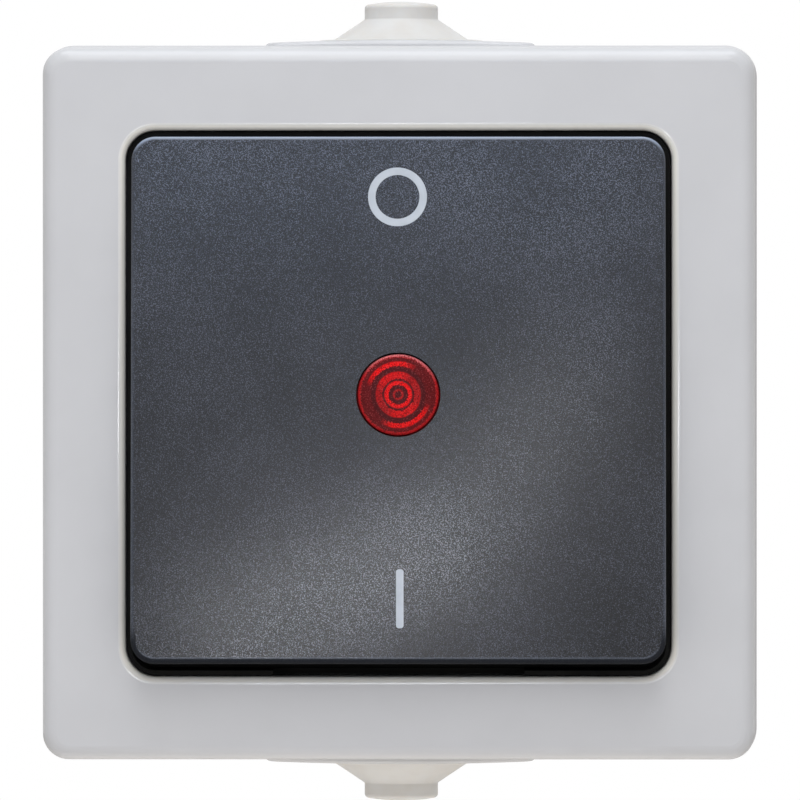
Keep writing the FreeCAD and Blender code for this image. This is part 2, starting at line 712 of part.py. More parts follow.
def toggle():
    """The insert's own rocker: trunnions in the ears, a window for the lamp, a sleeve for each plunger."""
    bar_top = PIVOT_Z + TOGGLE_TOP
    bar_bottom = PIVOT_Z - TOGGLE_BOTTOM
    body = box(-TOGGLE_HALF_X, TOGGLE_HALF_X, -TOGGLE_HALF_Y, TOGGLE_HALF_Y, bar_bottom, bar_top)
    reach = TOGGLE_HALF_X + EAR_GAP + EAR_WALL
    pieces = [Part.makeCylinder(TRUNNION_R, 2 * reach, Vector(-reach, 0, PIVOT_Z), Vector(1, 0, 0))]
    sleeve_z = PIVOT_Z - SLEEVE_REACH
    for x in (-POLE_X, POLE_X):
        pieces.append(rod(SLEEVE_R, x, 0, sleeve_z, bar_bottom + EPS))
    body = body.fuse(pieces)
    half_x, half_y = WINDOW_X / 2, WINDOW_Y / 2
    cuts = [box(-half_x, half_x, -half_y, half_y, bar_bottom - EPS, bar_top + EPS)]
    for x in (-POLE_X, POLE_X):
        cuts.append(rod(BORE_R, x, 0, sleeve_z - EPS, bar_top - BORE_ROOF))
    return tilted(body.cut(Part.makeCompound(cuts)).removeSplitter())


def plunger_top_z():
    return PIVOT_Z - SLEEVE_REACH + PLUNGER_IN_BORE


def plunger(x):
    """Sprung pin that slides in the toggle's sleeve and rides on the rocking contact."""
    tip_z = PIVOT_Z - PLUNGER_REACH
    shoulder = tip_z + PLUNGER_TAPER
    body = turned([
        (0, tip_z),
        (PLUNGER_TIP_R, tip_z),
        (PLUNGER_R, shoulder),
        (PLUNGER_R, plunger_top_z()),
        (0, plunger_top_z()),
    ])
    body = body.fuse(Part.makeSphere(PLUNGER_TIP_R, Vector(0, 0, tip_z))).removeSplitter()
    return tilted(moved(body, x, 0, 0))


def plunger_spring(x):
    """Compression spring between the plunger and the roof of its bore."""
    z0 = plunger_top_z() + SPRING_WIRE_R + SPRING_SEAT_GAP
    z1 = PIVOT_Z + TOGGLE_TOP - BORE_ROOF - SPRING_WIRE_R - SPRING_SEAT_GAP
    helix = Part.Wire(Part.makeHelix((z1 - z0) / SPRING_TURNS, z1 - z0, SPRING_COIL_R).Edges)
    corners = [
        Vector(
            SPRING_COIL_R + SPRING_WIRE_R * math.cos(math.radians(60 * k)),
            0,
            SPRING_WIRE_R * math.sin(math.radians(60 * k)),
        )
        for k in range(6)
    ]
    section = Part.makePolygon(corners + corners[:1])
    coil = helix.makePipeShell([section], True, True)
    return tilted(moved(coil, x, 0, z0))


def contact_bridge(x):
    """Rocking contact in its open position: a dished strip with a round seat and a silver rivet."""
    slope = math.tan(SADDLE_ANGLE)
    outline = []
    for rise in (SADDLE_RISE, UNDERSIDE):
        arm = [
            Vector(0, -CONTACT_SHORT_ARM, rise + CONTACT_SHORT_ARM * slope),
            Vector(0, 0, rise),
            Vector(0, CONTACT_LONG_ARM, rise + CONTACT_LONG_ARM * slope),
        ]
        outline += arm if rise == SADDLE_RISE else arm[::-1]
    strip = Part.Face(Part.makePolygon(outline + outline[:1])).extrude(Vector(CONTACT_WIDTH, 0, 0))
    strip.translate(Vector(-CONTACT_WIDTH / 2, 0, 0))
    rivet = rod(RIVET_R, 0, 0, -RIVET_HEIGHT, CONTACT_SHEET / 2)
    rivet.rotate(Vector(0, 0, 0), Vector(1, 0, 0), math.degrees(SADDLE_ANGLE))
    rivet.translate(Vector(0, RIVET_ARM, UNDERSIDE + RIVET_ARM * slope))
    half = CONTACT_WIDTH / 2 + EPS
    seat = Part.makeCylinder(FULCRUM_R + FULCRUM_FIT, 2 * half, Vector(-half, 0, 0), Vector(1, 0, 0))
    bridge = strip.fuse(rivet).cut(seat).removeSplitter()
    bridge.rotate(Vector(0, 0, 0), Vector(1, 0, 0), math.degrees(SADDLE_ANGLE))
    return moved(bridge, x, 0, FULCRUM_Z)


def strip_end():
    return TROUGH_Y / 2 - STRIP_END_GAP


def contact_cradle(x):
    """Feed strip with the upright tab and the round edge that the rocking contact turns on."""
    top = CRADLE_Z + CONTACT_SHEET
    half = STRIP_WIDTH / 2
    strip = box(-half, half, -strip_end(), FULCRUM_TAB, CRADLE_Z, top)
    width = CONTACT_WIDTH
    tab = box(-width / 2, width / 2, -FULCRUM_TAB / 2, FULCRUM_TAB / 2, CRADLE_Z, FULCRUM_Z)
    edge = Part.makeCylinder(FULCRUM_R, width, Vector(-width / 2, 0, FULCRUM_Z), Vector(1, 0, 0))
    strip = strip.fuse([tab, edge])
    strip = strip.cut(rod(TERMINAL_SCREW_R + SCREW_FIT, 0, -TERMINAL_Y, CRADLE_Z - EPS, top + EPS))
    return moved(strip.removeSplitter(), x, 0, 0)


def fixed_contact(x):
    """Output strip with the fixed silver rivet."""
    top = FIXED_Z + CONTACT_SHEET
    half = STRIP_WIDTH / 2
    strip = box(-half, half, FIXED_STRIP_Y + STRIP_END_GAP, strip_end(), FIXED_Z, top)
    strip = strip.fuse(rod(RIVET_R, 0, CLOSED_RIVET_Y, FIXED_Z + CONTACT_SHEET / 2, top + RIVET_HEIGHT))
    strip = strip.cut(rod(TERMINAL_SCREW_R + SCREW_FIT, 0, TERMINAL_Y, FIXED_Z - EPS, top + EPS))
    return moved(strip.removeSplitter(), x, 0, 0)


def strip_top(y):
    return (CRADLE_Z if y < 0 else FIXED_Z) + CONTACT_SHEET


def terminal_clamps():
    clamps = []
    for x, y in terminal_points():
        z0 = strip_top(y) + 2 * WIRE_GAP
        clamp = plate(CLAMP_X, CLAMP_Y, CLAMP_THICK / 2, z0, z0 + CLAMP_THICK)
        clamp = clamp.cut(rod(TERMINAL_SCREW_R + SCREW_FIT, 0, 0, z0 - EPS, z0 + CLAMP_THICK + EPS))
        clamps.append(moved(clamp, x, y, 0))
    return Part.makeCompound(clamps)


def terminal_screws():
    screws = []
    for x, y in terminal_points():
        head_z = strip_top(y) + 2 * WIRE_GAP + CLAMP_THICK
        end_z = strip_top(y) - 2 * CONTACT_SHEET
        screw = rod(TERMINAL_SCREW_HEAD_R, 0, 0, head_z, head_z + TERMINAL_SCREW_HEAD)
        screw = screw.fuse(rod(TERMINAL_SCREW_R, 0, 0, end_z, head_z + EPS))
        half = SCREW_SLOT / 2
        reach = TERMINAL_SCREW_HEAD_R + EPS
        slot_z = head_z + TERMINAL_SCREW_HEAD - SCREW_SLOT_DEPTH
        screw = screw.cut(box(-reach, reach, -half, half, slot_z, slot_z + EPS))
        screws.append(moved(screw.removeSplitter(), x, y, 0))
    return Part.makeCompound(screws)


def lamp_base_z():
    return PIVOT_Z - LAMP_BELOW_PIVOT - LAMP_LENGTH


def pilot_lamp():
    """Glass glow lamp that stands in the toggle's window, under the lens."""
    z0 = lamp_base_z()
    glass = rod(LAMP_R, 0, 0, z0, z0 + LAMP_LENGTH - LAMP_R)
    dome = Part.makeSphere(LAMP_R, Vector(0, 0, z0 + LAMP_LENGTH - LAMP_R))
    return glass.fuse(dome).removeSplitter()


def lead_turn_y():
    """Where the leads leave the trench and turn to the output strips."""
    return TERMINAL_Y - CLAMP_Y / 2


def lead_wire(points):
    """Thin round wire along straight runs, mitred at its bends."""
    path = Part.makePolygon([Vector(*p) for p in points])
    start = Vector(*points[0])
    along = Vector(*points[1]) - start
    section = Part.Wire(Part.makeCircle(LEAD_R, start, along))
    return path.makePipeShell([section], True, False, 1)


def resistor_span():
    y0 = WELL_R + LEAD_R
    return y0, y0 + RESISTOR_LENGTH


def lamp_leads():
    lead_z = lamp_base_z() - LEAD_DROP
    turn = lead_turn_y()
    end_x = POLE_X - TROUGH_X / 2 + LEAD_WALL_GAP + LEAD_R
    end_z = FIXED_Z + CONTACT_SHEET
    y0, y1 = resistor_span()
    plain = lead_wire([
        (-LEAD_X, 0, lamp_base_z()), (-LEAD_X, 0, lead_z), (-LEAD_X, turn, lead_z),
        (-end_x, turn, lead_z), (-end_x, turn, end_z),
    ])
    to_resistor = lead_wire([(LEAD_X, 0, lamp_base_z()), (LEAD_X, 0, lead_z), (LEAD_X, y0, lead_z)])
    from_resistor = lead_wire([
        (LEAD_X, y1, lead_z), (LEAD_X, turn, lead_z), (end_x, turn, lead_z), (end_x, turn, end_z)
    ])
    return Part.makeCompound([plain, to_resistor, from_resistor])


def lamp_resistor():
    lead_z = lamp_base_z() - LEAD_DROP
    y0, y1 = resistor_span()
    body = Part.makeCylinder(RESISTOR_R, y1 - y0, Vector(LEAD_X, y0, lead_z), Vector(0, 1, 0))
    ends = [e for e in body.Edges if e.BoundBox.YLength < 1e-6]
    return body.makeChamfer(RESISTOR_R / 4, ends)


PIECES = {
    "base_box": base_box,
    "top_grommet": grommet,
    "bottom_grommet": lambda: half_turn(grommet()),
    "cover_gasket": cover_gasket,
    "cover_frame": cover_frame,
    "inner_frame": inner_frame,
    "insert_seal": insert_seal,
    "cover_screws": cover_screws,
    "insert_screws": insert_screws,
    "rocker": rocker,
    "lens": lens,
    "bearing_bridge": bearing_bridge,
    "switch_socket": switch_socket,
    "toggle": toggle,
    "left_plunger": lambda: plunger(-POLE_X),
    "right_plunger": lambda: plunger(POLE_X),
    "left_spring": lambda: plunger_spring(-POLE_X),
    "right_spring": lambda: plunger_spring(POLE_X),
    "left_contact_bridge": lambda: contact_bridge(-POLE_X),
    "right_contact_bridge": lambda: contact_bridge(POLE_X),
    "left_contact_cradle": lambda: contact_cradle(-POLE_X),
    "right_contact_cradle": lambda: contact_cradle(POLE_X),
    "left_fixed_contact": lambda: fixed_contact(-POLE_X),
    "right_fixed_contact": lambda: fixed_contact(POLE_X),
    "terminal_clamps": terminal_clamps,
    "terminal_screws": terminal_screws,
    "pilot_lamp": pilot_lamp,
    "lamp_leads": lamp_leads,
    "lamp_resistor": lamp_resistor,
}


def upright(shape):
    shape = shape.copy()
    shape.rotate(Vector(0, 0, 0), Vector(1, 0, 0), 90)
    return shape


def main():
    os.makedirs("parts", exist_ok=True)
    for name, make in PIECES.items():
        upright(make()).exportStep(os.path.join("parts", name + ".step"))


main()
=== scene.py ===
"""Looks of a surface-mounted weatherproof rocker switch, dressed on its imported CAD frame."""

import math

import bpy
from bpy.props import FloatProperty, FloatVectorProperty, IntProperty, PointerProperty
from mathutils import Matrix, Vector


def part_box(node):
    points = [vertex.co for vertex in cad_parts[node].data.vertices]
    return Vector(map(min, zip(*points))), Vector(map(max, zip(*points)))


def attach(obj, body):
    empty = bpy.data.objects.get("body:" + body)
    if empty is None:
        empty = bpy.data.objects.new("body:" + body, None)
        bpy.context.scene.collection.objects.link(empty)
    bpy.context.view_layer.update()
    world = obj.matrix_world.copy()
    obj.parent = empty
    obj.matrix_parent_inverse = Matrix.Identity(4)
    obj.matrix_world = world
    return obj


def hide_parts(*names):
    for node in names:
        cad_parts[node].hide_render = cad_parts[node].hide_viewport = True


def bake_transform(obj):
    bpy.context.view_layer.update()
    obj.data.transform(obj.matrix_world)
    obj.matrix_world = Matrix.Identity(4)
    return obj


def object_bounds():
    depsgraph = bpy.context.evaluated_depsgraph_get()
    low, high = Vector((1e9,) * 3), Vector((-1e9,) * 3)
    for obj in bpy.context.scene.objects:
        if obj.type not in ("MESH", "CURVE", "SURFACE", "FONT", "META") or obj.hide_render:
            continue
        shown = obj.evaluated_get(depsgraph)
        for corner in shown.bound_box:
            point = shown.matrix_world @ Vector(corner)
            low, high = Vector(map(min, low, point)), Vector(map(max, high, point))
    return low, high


bl_info = {
    "name": "Weatherproof Rocker Switch",
    "version": (1, 0, 0),
    "blender": (4, 5, 0),
    "location": "View3D > Sidebar > Switch",
    "description": "Finishes, printed marks, lens, entries and studio of a surface-mounted switch",
    "category": "Object",
}

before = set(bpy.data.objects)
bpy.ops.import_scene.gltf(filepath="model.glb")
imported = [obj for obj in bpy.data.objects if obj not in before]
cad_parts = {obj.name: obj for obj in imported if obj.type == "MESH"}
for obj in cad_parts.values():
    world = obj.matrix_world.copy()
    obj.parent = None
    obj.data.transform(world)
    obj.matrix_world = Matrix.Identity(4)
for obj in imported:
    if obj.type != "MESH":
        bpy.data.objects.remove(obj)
cad_low, cad_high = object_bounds()

MM = 0.001
WHITE = (1.0, 1.0, 1.0, 1.0)

# Places taken from the CAD frame, in metres
TILT = math.radians(4.0)
PIVOT = Vector((0.0, -41.9 * MM, 0.0))
FACE_RISE = 5.4 * MM
LENS_OFFSET = 0.45 * MM
ENTRY_Y = -15.0 * MM
COVER_SCREW_END_Y = -21.2 * MM
INSERT_SCREW_END_Y = -26.2 * MM
BOSS = 21.0 * MM
LUG = 25.0 * MM
POLE = 8.5 * MM
SPRING_LOW = -9.1 * MM
SPRING_HIGH = 1.5 * MM

# The tilted rocker: x to the right, y up its face, z out of it, from its axle and from the face's middle
AXLE = Matrix.Translation(PIVOT) @ Matrix.Rotation(math.radians(90.0) - TILT, 4, "X")
FACE = AXLE @ Matrix.Translation((0.0, 0.0, FACE_RISE))
LENS_SEAT = FACE @ Matrix.Translation((0.0, LENS_OFFSET, 0.0))
OUT_OF_WALL = Matrix.Rotation(math.radians(90.0), 4, "X")

# Bands of the shell's finish: out of the wall, past the outline of the opening, and from mid height
FRONT_BAND = (43.4 * MM, 44.0 * MM)
SATIN_BAND = (44.1 * MM, 43.6 * MM)
# Painted highlight: the lip round the opening and the line on its outside are painted lighter where they
# catch the light
LIT_LIP_BAND = (0.62 * MM, 0.5 * MM)
HIGHLIGHT_LINE_START = (0.4 * MM, 0.52 * MM)
HIGHLIGHT_LINE_END = (0.7 * MM, 0.58 * MM)
PAD_BAND = (33.3 * MM, 33.1 * MM)

# Bands of the rocker's painted highlights and painted shade: past the outline of its face, out of the face,
# and from its edges
UPPER_HIGHLIGHT_RIM = (-0.36 * MM, -0.16 * MM)
LOWER_SHADE_RIM = (-0.54 * MM, -0.42 * MM)
LOWER_HIGHLIGHT_LINE = (-0.68 * MM, -0.58 * MM)
WALL_SHADE_BAND = (-0.22 * MM, -0.5 * MM)
UPPER_HIGHLIGHT_PART = (1.6 * MM, 0.5 * MM)
LOWER_SHADE_PART = (4.0 * MM, 2.0 * MM)
HIGHLIGHT_LINE_PART = (1.6 * MM, 0.9 * MM)

# Turn of the noise, so that its cells don't line up with flat faces, and the part of its range in use
OBLIQUE = (0.6, 0.4, 0.9)
NOISE_SPAN = (0.3, 0.7)

# Seams closer than this are closed, and edges sharper than this stay sharp
WELD = 0.0005 * MM
CREASE = math.radians(35.0)

# Panels of the studio: size, place and the point that each looks at, in metres, and its colour
KEY_PANEL = ((0.16, 0.5), (0.0, -0.48, 0.39), (0.0, -0.045, 0.03), (1.0, 1.0, 1.0))
TOP_PANEL = ((0.3, 0.2), (0.0, -0.12, 0.36), (0.0, -0.03, 0.0), (0.92, 0.96, 1.0))
LOW_CARD = ((0.1, 0.06), (0.0, -0.03, -0.08), (0.0, -0.03, 0.0), (1.0, 0.95, 0.88))

# Strips that the rocker mirrors: point of its face, distance, size, turn in degrees and colour
LEFT_SHEEN = ((-6.5 * MM, -18.0 * MM, 0.0), 0.12, (0.028, 0.005), 20.0, (0.94, 0.95, 1.0))
RIGHT_SHEEN = ((10.5 * MM, -6.0 * MM, 0.0), 0.12, (0.026, 0.005), 52.0, (0.94, 0.95, 1.0))
SKY_PANEL = ((-14.0 * MM, 25.5 * MM, 0.0), 0.3, (0.12, 0.01), 0.0, (0.58, 0.72, 1.0))


def display(red, green, blue):
    """Colour for a socket from the 8-bit values that a screen shows."""
    shares = [channel / 255.0 for channel in (red, green, blue)]
    linear = [s / 12.92 if s <= 0.04045 else ((s + 0.055) / 1.055) ** 2.4 for s in shares]
    return (*linear, 1.0)


def colour_property(name, description, *shown):
    """Colour from the 8-bit values that a screen shows."""
    default = display(*shown)
    return FloatVectorProperty(
        name=name, description=description, default=default, size=4, min=0.0, max=1.0, subtype="COLOR"
    )


def length_property(name, description, size):
    """Length from a size in millimetres."""
    return FloatProperty(
        name=name, description=description, default=size * MM, min=0.0, unit="LENGTH", precision=6
    )


def power_property(name, description, default):
    """Power of a lamp in watts."""
    return FloatProperty(name=name, description=description, default=default, min=0.0, unit="POWER")


class ShellSettings(bpy.types.PropertyGroup):
    """Pale moulded shell: cover frame and base box"""

    plastic: colour_property("Plastic", "Colour of the pale plastic", 198, 198, 200)
    shade: colour_property("Shade", "Slightly darker cloud in the plastic", 195, 195, 197)
    # Painted highlight: the lip is painted a lighter cream where light catches its rounding
    lip: colour_property("Lip", "Creamy plastic on the lip round the opening", 230, 227, 219)
    # Painted highlight: a pale line where the outer rounding of the lip catches the light
    painted_highlight: colour_property("Crest", "Pale line on the outside of the lip", 215, 214, 211)
    tray: colour_property("Tray", "Colour of the black tray in the opening", 38, 38, 36)
    opening: length_property("Opening", "Side of the opening in the cover", 49.8)
    corner: length_property("Corner", "Corner radius of the opening", 2.7)


class RockerSettings(bpy.types.PropertyGroup):
    """Dark rocker with its spark-eroded face"""

    plastic: colour_property("Plastic", "Lighter grain of the anthracite plastic", 78, 81, 91)
    shade: colour_property("Shade", "Darker grain of the anthracite plastic", 2, 3, 6)
    # Painted highlight: lighter colour on the upper edge and on a thin line above the lower edge, where
    # they catch the light
    edge: colour_property("Edge", "Polished edge that catches the light", 136, 146, 164)
    # Painted shade: the walls and the lower edge are painted darker where they sit in the dark gap
    wall: colour_property("Wall", "Darker plastic of the rocker's walls", 14, 17, 24)
    grain: length_property("Grain", "Size of the eroded grain", 0.1)
    depth: length_property("Grain depth", "Height of the eroded grain", 0.005)
    half_width: length_property("Half width", "Side edge of the face from its middle", 24.34)
    half_height: length_property("Half height", "Upper edge of the face above its middle", 24.05)
    corner: length_property("Corner", "Corner radius of the face", 2.2)


class MarkSettings(bpy.types.PropertyGroup):
    """Printed ring and bar on the rocker"""

    ink: colour_property("Ink", "Colour of the printed marks", 185, 192, 201)
    ring: length_property("Ring", "Outer diameter of the ring", 5.36)
    stroke: length_property("Stroke", "Width of the printed line", 0.68)
    bar: length_property("Bar", "Length of the bar", 5.36)
    bar_end: length_property("Bar end", "Corner radius of the bar", 0.26)
    ring_up: length_property("Ring height", "Ring's middle above the middle of the face", 18.5)
    bar_down: length_property("Bar drop", "Bar's middle below the middle of the face", 18.11)
    ring_left: length_property("Ring shift", "Ring's middle left of the face's middle", 0.08)
    bar_right: length_property("Bar shift", "Bar's middle right of the face's middle", 0.15)
    thickness: length_property("Thickness", "Height of the ink film", 0.02)


class LensSettings(bpy.types.PropertyGroup):
    """Red pilot lens with concentric rings"""

    bright: colour_property("Bright", "Red of the rings that carry light", 222, 7, 9)
    middle: colour_property("Middle", "Red between bright and dark rings", 158, 14, 16)
    # Painted light: this livelier red is used only in the lit copy of the rings
    warm: colour_property("Warm", "Livelier red above and below the middle", 200, 10, 12)
    deep: colour_property("Deep", "Dark red of the ring grooves", 68, 11, 14)
    dusk: colour_property("Dusk", "Dull red where no light comes through", 90, 11, 14)
    rim: colour_property("Rim", "Red of the rounded rim", 156, 18, 22)
    # Painted highlight on the upper rim, also used for the painted glints
    painted_highlight: colour_property("Crest", "Pale red on the upper rim", 208, 108, 111)
    radius: length_property("Radius", "Radius of the lens", 3.7)
    dome: length_property("Dome", "Rise of the lens above its edge", 0.25)
    fray: length_property("Fray", "Raggedness of the rings", 0.4)
    segments: IntProperty(name="Segments", description="Faces round the lens", default=128, min=24)


class EntrySettings(bpy.types.PropertyGroup):
    """Soft stepped cable entries"""

    rubber: colour_property("Rubber", "Colour of the soft entries", 207, 206, 204)
    shade: colour_property("Shade", "Warmer cloud in the rubber", 203, 200, 196)
    segments: IntProperty(name="Segments", description="Faces round an entry", default=96, min=24)


class ScrewSettings(bpy.types.PropertyGroup):
    """Threads of the long screws"""

    radius: length_property("Radius", "Radius of a thread, to the middle of its ridge", 1.4)
    pitch: length_property("Pitch", "Rise of a thread in one turn", 1.1)
    ridge: length_property("Ridge", "Radius of the ridge", 0.22)
    lead: length_property("Lead", "Plain end of a screw before its thread", 0.9)
    cover_thread: length_property("Cover thread", "Length of a cover screw's thread", 11.0)
    insert_thread: length_property("Insert thread", "Length of an insert screw's thread", 6.6)


class SpringSettings(bpy.types.PropertyGroup):
    """Springs behind the plungers"""

    wire: length_property("Wire", "Radius of the spring wire", 0.2)
    coil: length_property("Coil", "Radius of a turn, to the middle of the wire", 1.35)
    turns: FloatProperty(name="Turns", description="Turns of each spring", default=5.0, min=1.0)


class StageSettings(bpy.types.PropertyGroup):
    """Studio: floor, lamps, world and camera"""

    floor: colour_property("Floor", "Colour of the floor", 222, 218, 213)
    floor_drop: length_property("Floor drop", "Floor below the object", 45.0)
    floor_front: length_property("Floor front", "Reach of the floor towards the camera", 750.0)
    floor_back: length_property("Floor back", "Reach of the floor behind the object", 600.0)
    floor_glow: FloatProperty(name="Floor glow", description="Lift of the floor to white", default=0.4)
    ambience: FloatProperty(name="Ambience", description="Light from all round", default=0.56, min=0.0)
    key: power_property("Key", "Power of the tall panel", 0.84)
    top: power_property("Top", "Power of the panel above", 0.74)
    low: power_property("Low", "Power of the warm card below", 0.016)
    left_sheen: power_property("Left sheen", "Power of the strip mirrored at the left", 0.013568)
    right_sheen: power_property("Right sheen", "Power of the strip mirrored at the right", 0.00636)
    sky: power_property("Sky", "Power of the cool sheen at the top", 0.066)
    camera_gap: length_property("Camera distance", "Camera in front of the cover's face", 900.0)
    camera_right: length_property("Camera right", "Camera right of the middle", 8.0)
    camera_up: length_property("Camera up", "Camera above the middle", 7.0)
    aim_right: length_property("Aim right", "Point that the camera looks at, right of the middle", 0.137)
    aim_up: length_property("Aim up", "Point that the camera looks at, above the middle", 0.333)
    focal: FloatProperty(name="Focal length", description="Camera lens", default=444.35, unit="CAMERA")


def plug(tree, socket, value):
    """Link or plain value into a socket."""
    if isinstance(value, bpy.types.NodeSocket):
        tree.links.new(value, socket)
    else:
        socket.default_value = value


def add(tree, kind, sockets=None, **settings):
    """New node with its settings, and with links or plain values in its sockets."""
    made = tree.nodes.new(kind)
    for name, value in settings.items():
        setattr(made, name, value)
    for name, value in (sockets or {}).items():
        plug(tree, made.inputs[name], value)
    return made


def result(tree, kind, sockets=None, **settings):
    """First output of a new node."""
    return add(tree, kind, sockets, **settings).outputs[0]


def number(tree, operation, *values):
    """Math node on links or numbers."""
    return result(tree, "ShaderNodeMath", dict(enumerate(values)), operation=operation)


def rescale(tree, value, start, end, low=0.0, high=1.0):
    """Clamped change from low to high while the value goes from start to end."""
    sockets = {"Value": value, "From Min": start, "From Max": end, "To Min": low, "To Max": high}
    return result(tree, "ShaderNodeMapRange", sockets)


def mixed(tree, factor, first, second):
    """Mix of two colours, given as links or plain colours."""
    made = add(tree, "ShaderNodeMix", {"Factor": factor}, data_type="RGBA")
    for side, colour in (("A", first), ("B", second)):
        plug(tree, next(s for s in made.inputs if s.identifier == f"{side}_Color"), colour)
    return next(s for s in made.outputs if s.identifier == "Result_Color")


def reach(tree, across, up):
    """Distance of a point from the middle, by its two parts."""
    square = number(tree, "MULTIPLY_ADD", across, across, number(tree, "MULTIPLY", up, up))
    return number(tree, "SQRT", square)


def blank_finish(name, sockets):
    """New material, its node tree and its shader with these plain values."""
    material = bpy.data.materials.new(name)
    material.use_nodes = True
    shader = material.node_tree.nodes["Principled BSDF"]
    for socket, value in sockets.items():
        shader.inputs[socket].default_value = value
    return material, material.node_tree, shader


def grain(tree, size, detail=2.0, stretch=(1.0, 1.0, 1.0)):
    """Noise on Object coordinates with cells of about this size."""
    place = add(tree, "ShaderNodeTexCoord").outputs["Object"]
    spread = result(tree, "ShaderNodeMapping", {"Vector": place, "Scale": stretch, "Rotation": OBLIQUE})
    return result(tree, "ShaderNodeTexNoise", {"Vector": spread, "Scale": 1.0 / size, "Detail": detail})


def cloud(tree, factor, low, high, start=0.35, end=0.65):
    """Colour that goes from low to high with the factor."""
    ramp = add(tree, "ShaderNodeValToRGB", {"Fac": factor})
    first, last = ramp.color_ramp.elements
    first.position, last.position = start, end
    first.color, last.color = low, high
    return ramp.outputs["Color"]


def tinted(tree, shader, factor, low, high):
    """Base colour that goes from low to high with the factor."""
    tree.links.new(cloud(tree, factor, low, high), shader.inputs["Base Color"])


def patchy_gloss(tree, shader, factor, low, high):
    """Roughness that goes from low to high with the factor."""
    tree.links.new(rescale(tree, factor, *NOISE_SPAN, low, high), shader.inputs["Roughness"])


def relief(tree, shader, factor, depth):
    """Bump of this depth on the shader's normal."""
    bump = result(tree, "ShaderNodeBump", {"Distance": depth, "Strength": 1.0, "Height": factor})
    tree.links.new(bump, shader.inputs["Normal"])


def on_seat(tree, seat):
    """Object coordinates in the frame of a seat, as three links."""
    place = add(tree, "ShaderNodeTexCoord").outputs["Object"]
    sockets = {"Vector": place, "Location": seat.translation, "Rotation": seat.to_euler()}
    turn = result(tree, "ShaderNodeMapping", sockets, vector_type="TEXTURE")
    return tuple(add(tree, "ShaderNodeSeparateXYZ", {"Vector": turn}).outputs)


def past_outline(tree, across, up, half_width, half_height, corner):
    """Distance outside a rectangle with rounded corners, negative inside it."""
    sides = []
    for value, half in ((across, half_width), (up, half_height)):
        past = number(tree, "SUBTRACT", number(tree, "ABSOLUTE", value), half - corner)
        sides.append(number(tree, "MAXIMUM", past, 0.0))
    return number(tree, "SUBTRACT", reach(tree, *sides), corner)


def moulded(name, low, high, gloss, patch, cell, depth, specular=0.5):
    """Moulded plastic: a faint cloud in its colour, a patchy gloss and a fine eroded grain."""
    material, tree, shader = blank_finish(name, {"Specular IOR Level": specular})
    tinted(tree, shader, grain(tree, patch, detail=3.0), low, high)
    patchy_gloss(tree, shader, grain(tree, patch / 3.0, detail=4.0), *gloss)
    relief(tree, shader, grain(tree, cell), depth)
    return material


def metal(name, low, high, gloss, cell, stretch, depth):
    """Worked metal with tool marks that run along its stretch."""
    material, tree, shader = blank_finish(name, {"Metallic": 1.0})
    marks = grain(tree, cell, 3.0, stretch)
    tinted(tree, shader, marks, low, high)
    patchy_gloss(tree, shader, grain(tree, cell * 4.0, detail=3.0), *gloss)
    relief(tree, shader, marks, depth)
    return material


def dress(material, *nodes):
    """Gives CAD nodes this material in every slot."""
    for name in nodes:
        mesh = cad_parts[name].data
        mesh.materials.clear()
        mesh.materials.append(material)


def new_tree(name, sizes, others=None):
    """Geometry node tree with inputs by kind, for these sizes and for a material, and the inputs' links."""
    tree = bpy.data.node_groups.new(name, "GeometryNodeTree")
    tree.is_modifier = True
    kinds = {**(others or {}), **dict.fromkeys(sizes, "Float"), "Material": "Material"}
    for label, kind in kinds.items():
        tree.interface.new_socket(name=label, in_out="INPUT", socket_type="NodeSocket" + kind)
    tree.interface.new_socket(name="Geometry", in_out="OUTPUT", socket_type="NodeSocketGeometry")
    return tree, tree.nodes.new("NodeGroupInput").outputs


def end_tree(tree, given, source, smooth=False):
    """Ends a tree in plain geometry with the tree's material, shaded smooth where asked."""
    if smooth:
        source = result(tree, "GeometryNodeSetShadeSmooth", {"Geometry": source})
    plain = result(tree, "GeometryNodeRealizeInstances", {"Geometry": source})
    coat = result(tree, "GeometryNodeSetMaterial", {"Geometry": plain, "Material": given["Material"]})
    add(tree, "NodeGroupOutput", {"Geometry": coat})
    return tree


def circle(tree, steps, radius):
    """Round curve."""
    return result(tree, "GeometryNodeCurvePrimitiveCircle", {"Resolution": steps, "Radius": radius})


def soft_oblong(tree, width, height, corner, count):
    """Rectangular curve whose corners are rounded in this many steps."""
    sharp = result(tree, "GeometryNodeCurvePrimitiveQuadrilateral", {"Width": width, "Height": height})
    sockets = {"Curve": sharp, "Count": count, "Radius": corner}
    return result(tree, "GeometryNodeFilletCurve", sockets, mode="POLY")


def swept(tree, path, section, caps=False):
    """Mesh of a section swept along a path."""
    sockets = {"Curve": path, "Profile Curve": section, "Fill Caps": caps}
    return result(tree, "GeometryNodeCurveToMesh", sockets)


def joined(tree, parts):
    """Several geometries as one, in this order."""
    made = add(tree, "GeometryNodeJoinGeometry")
    for part in parts:
        tree.links.new(part, made.inputs["Geometry"])
    return made.outputs["Geometry"]


def welded(tree, mesh):
    """Mesh with its seams closed."""
    return result(tree, "GeometryNodeMergeByDistance", {"Geometry": mesh, "Distance": WELD})


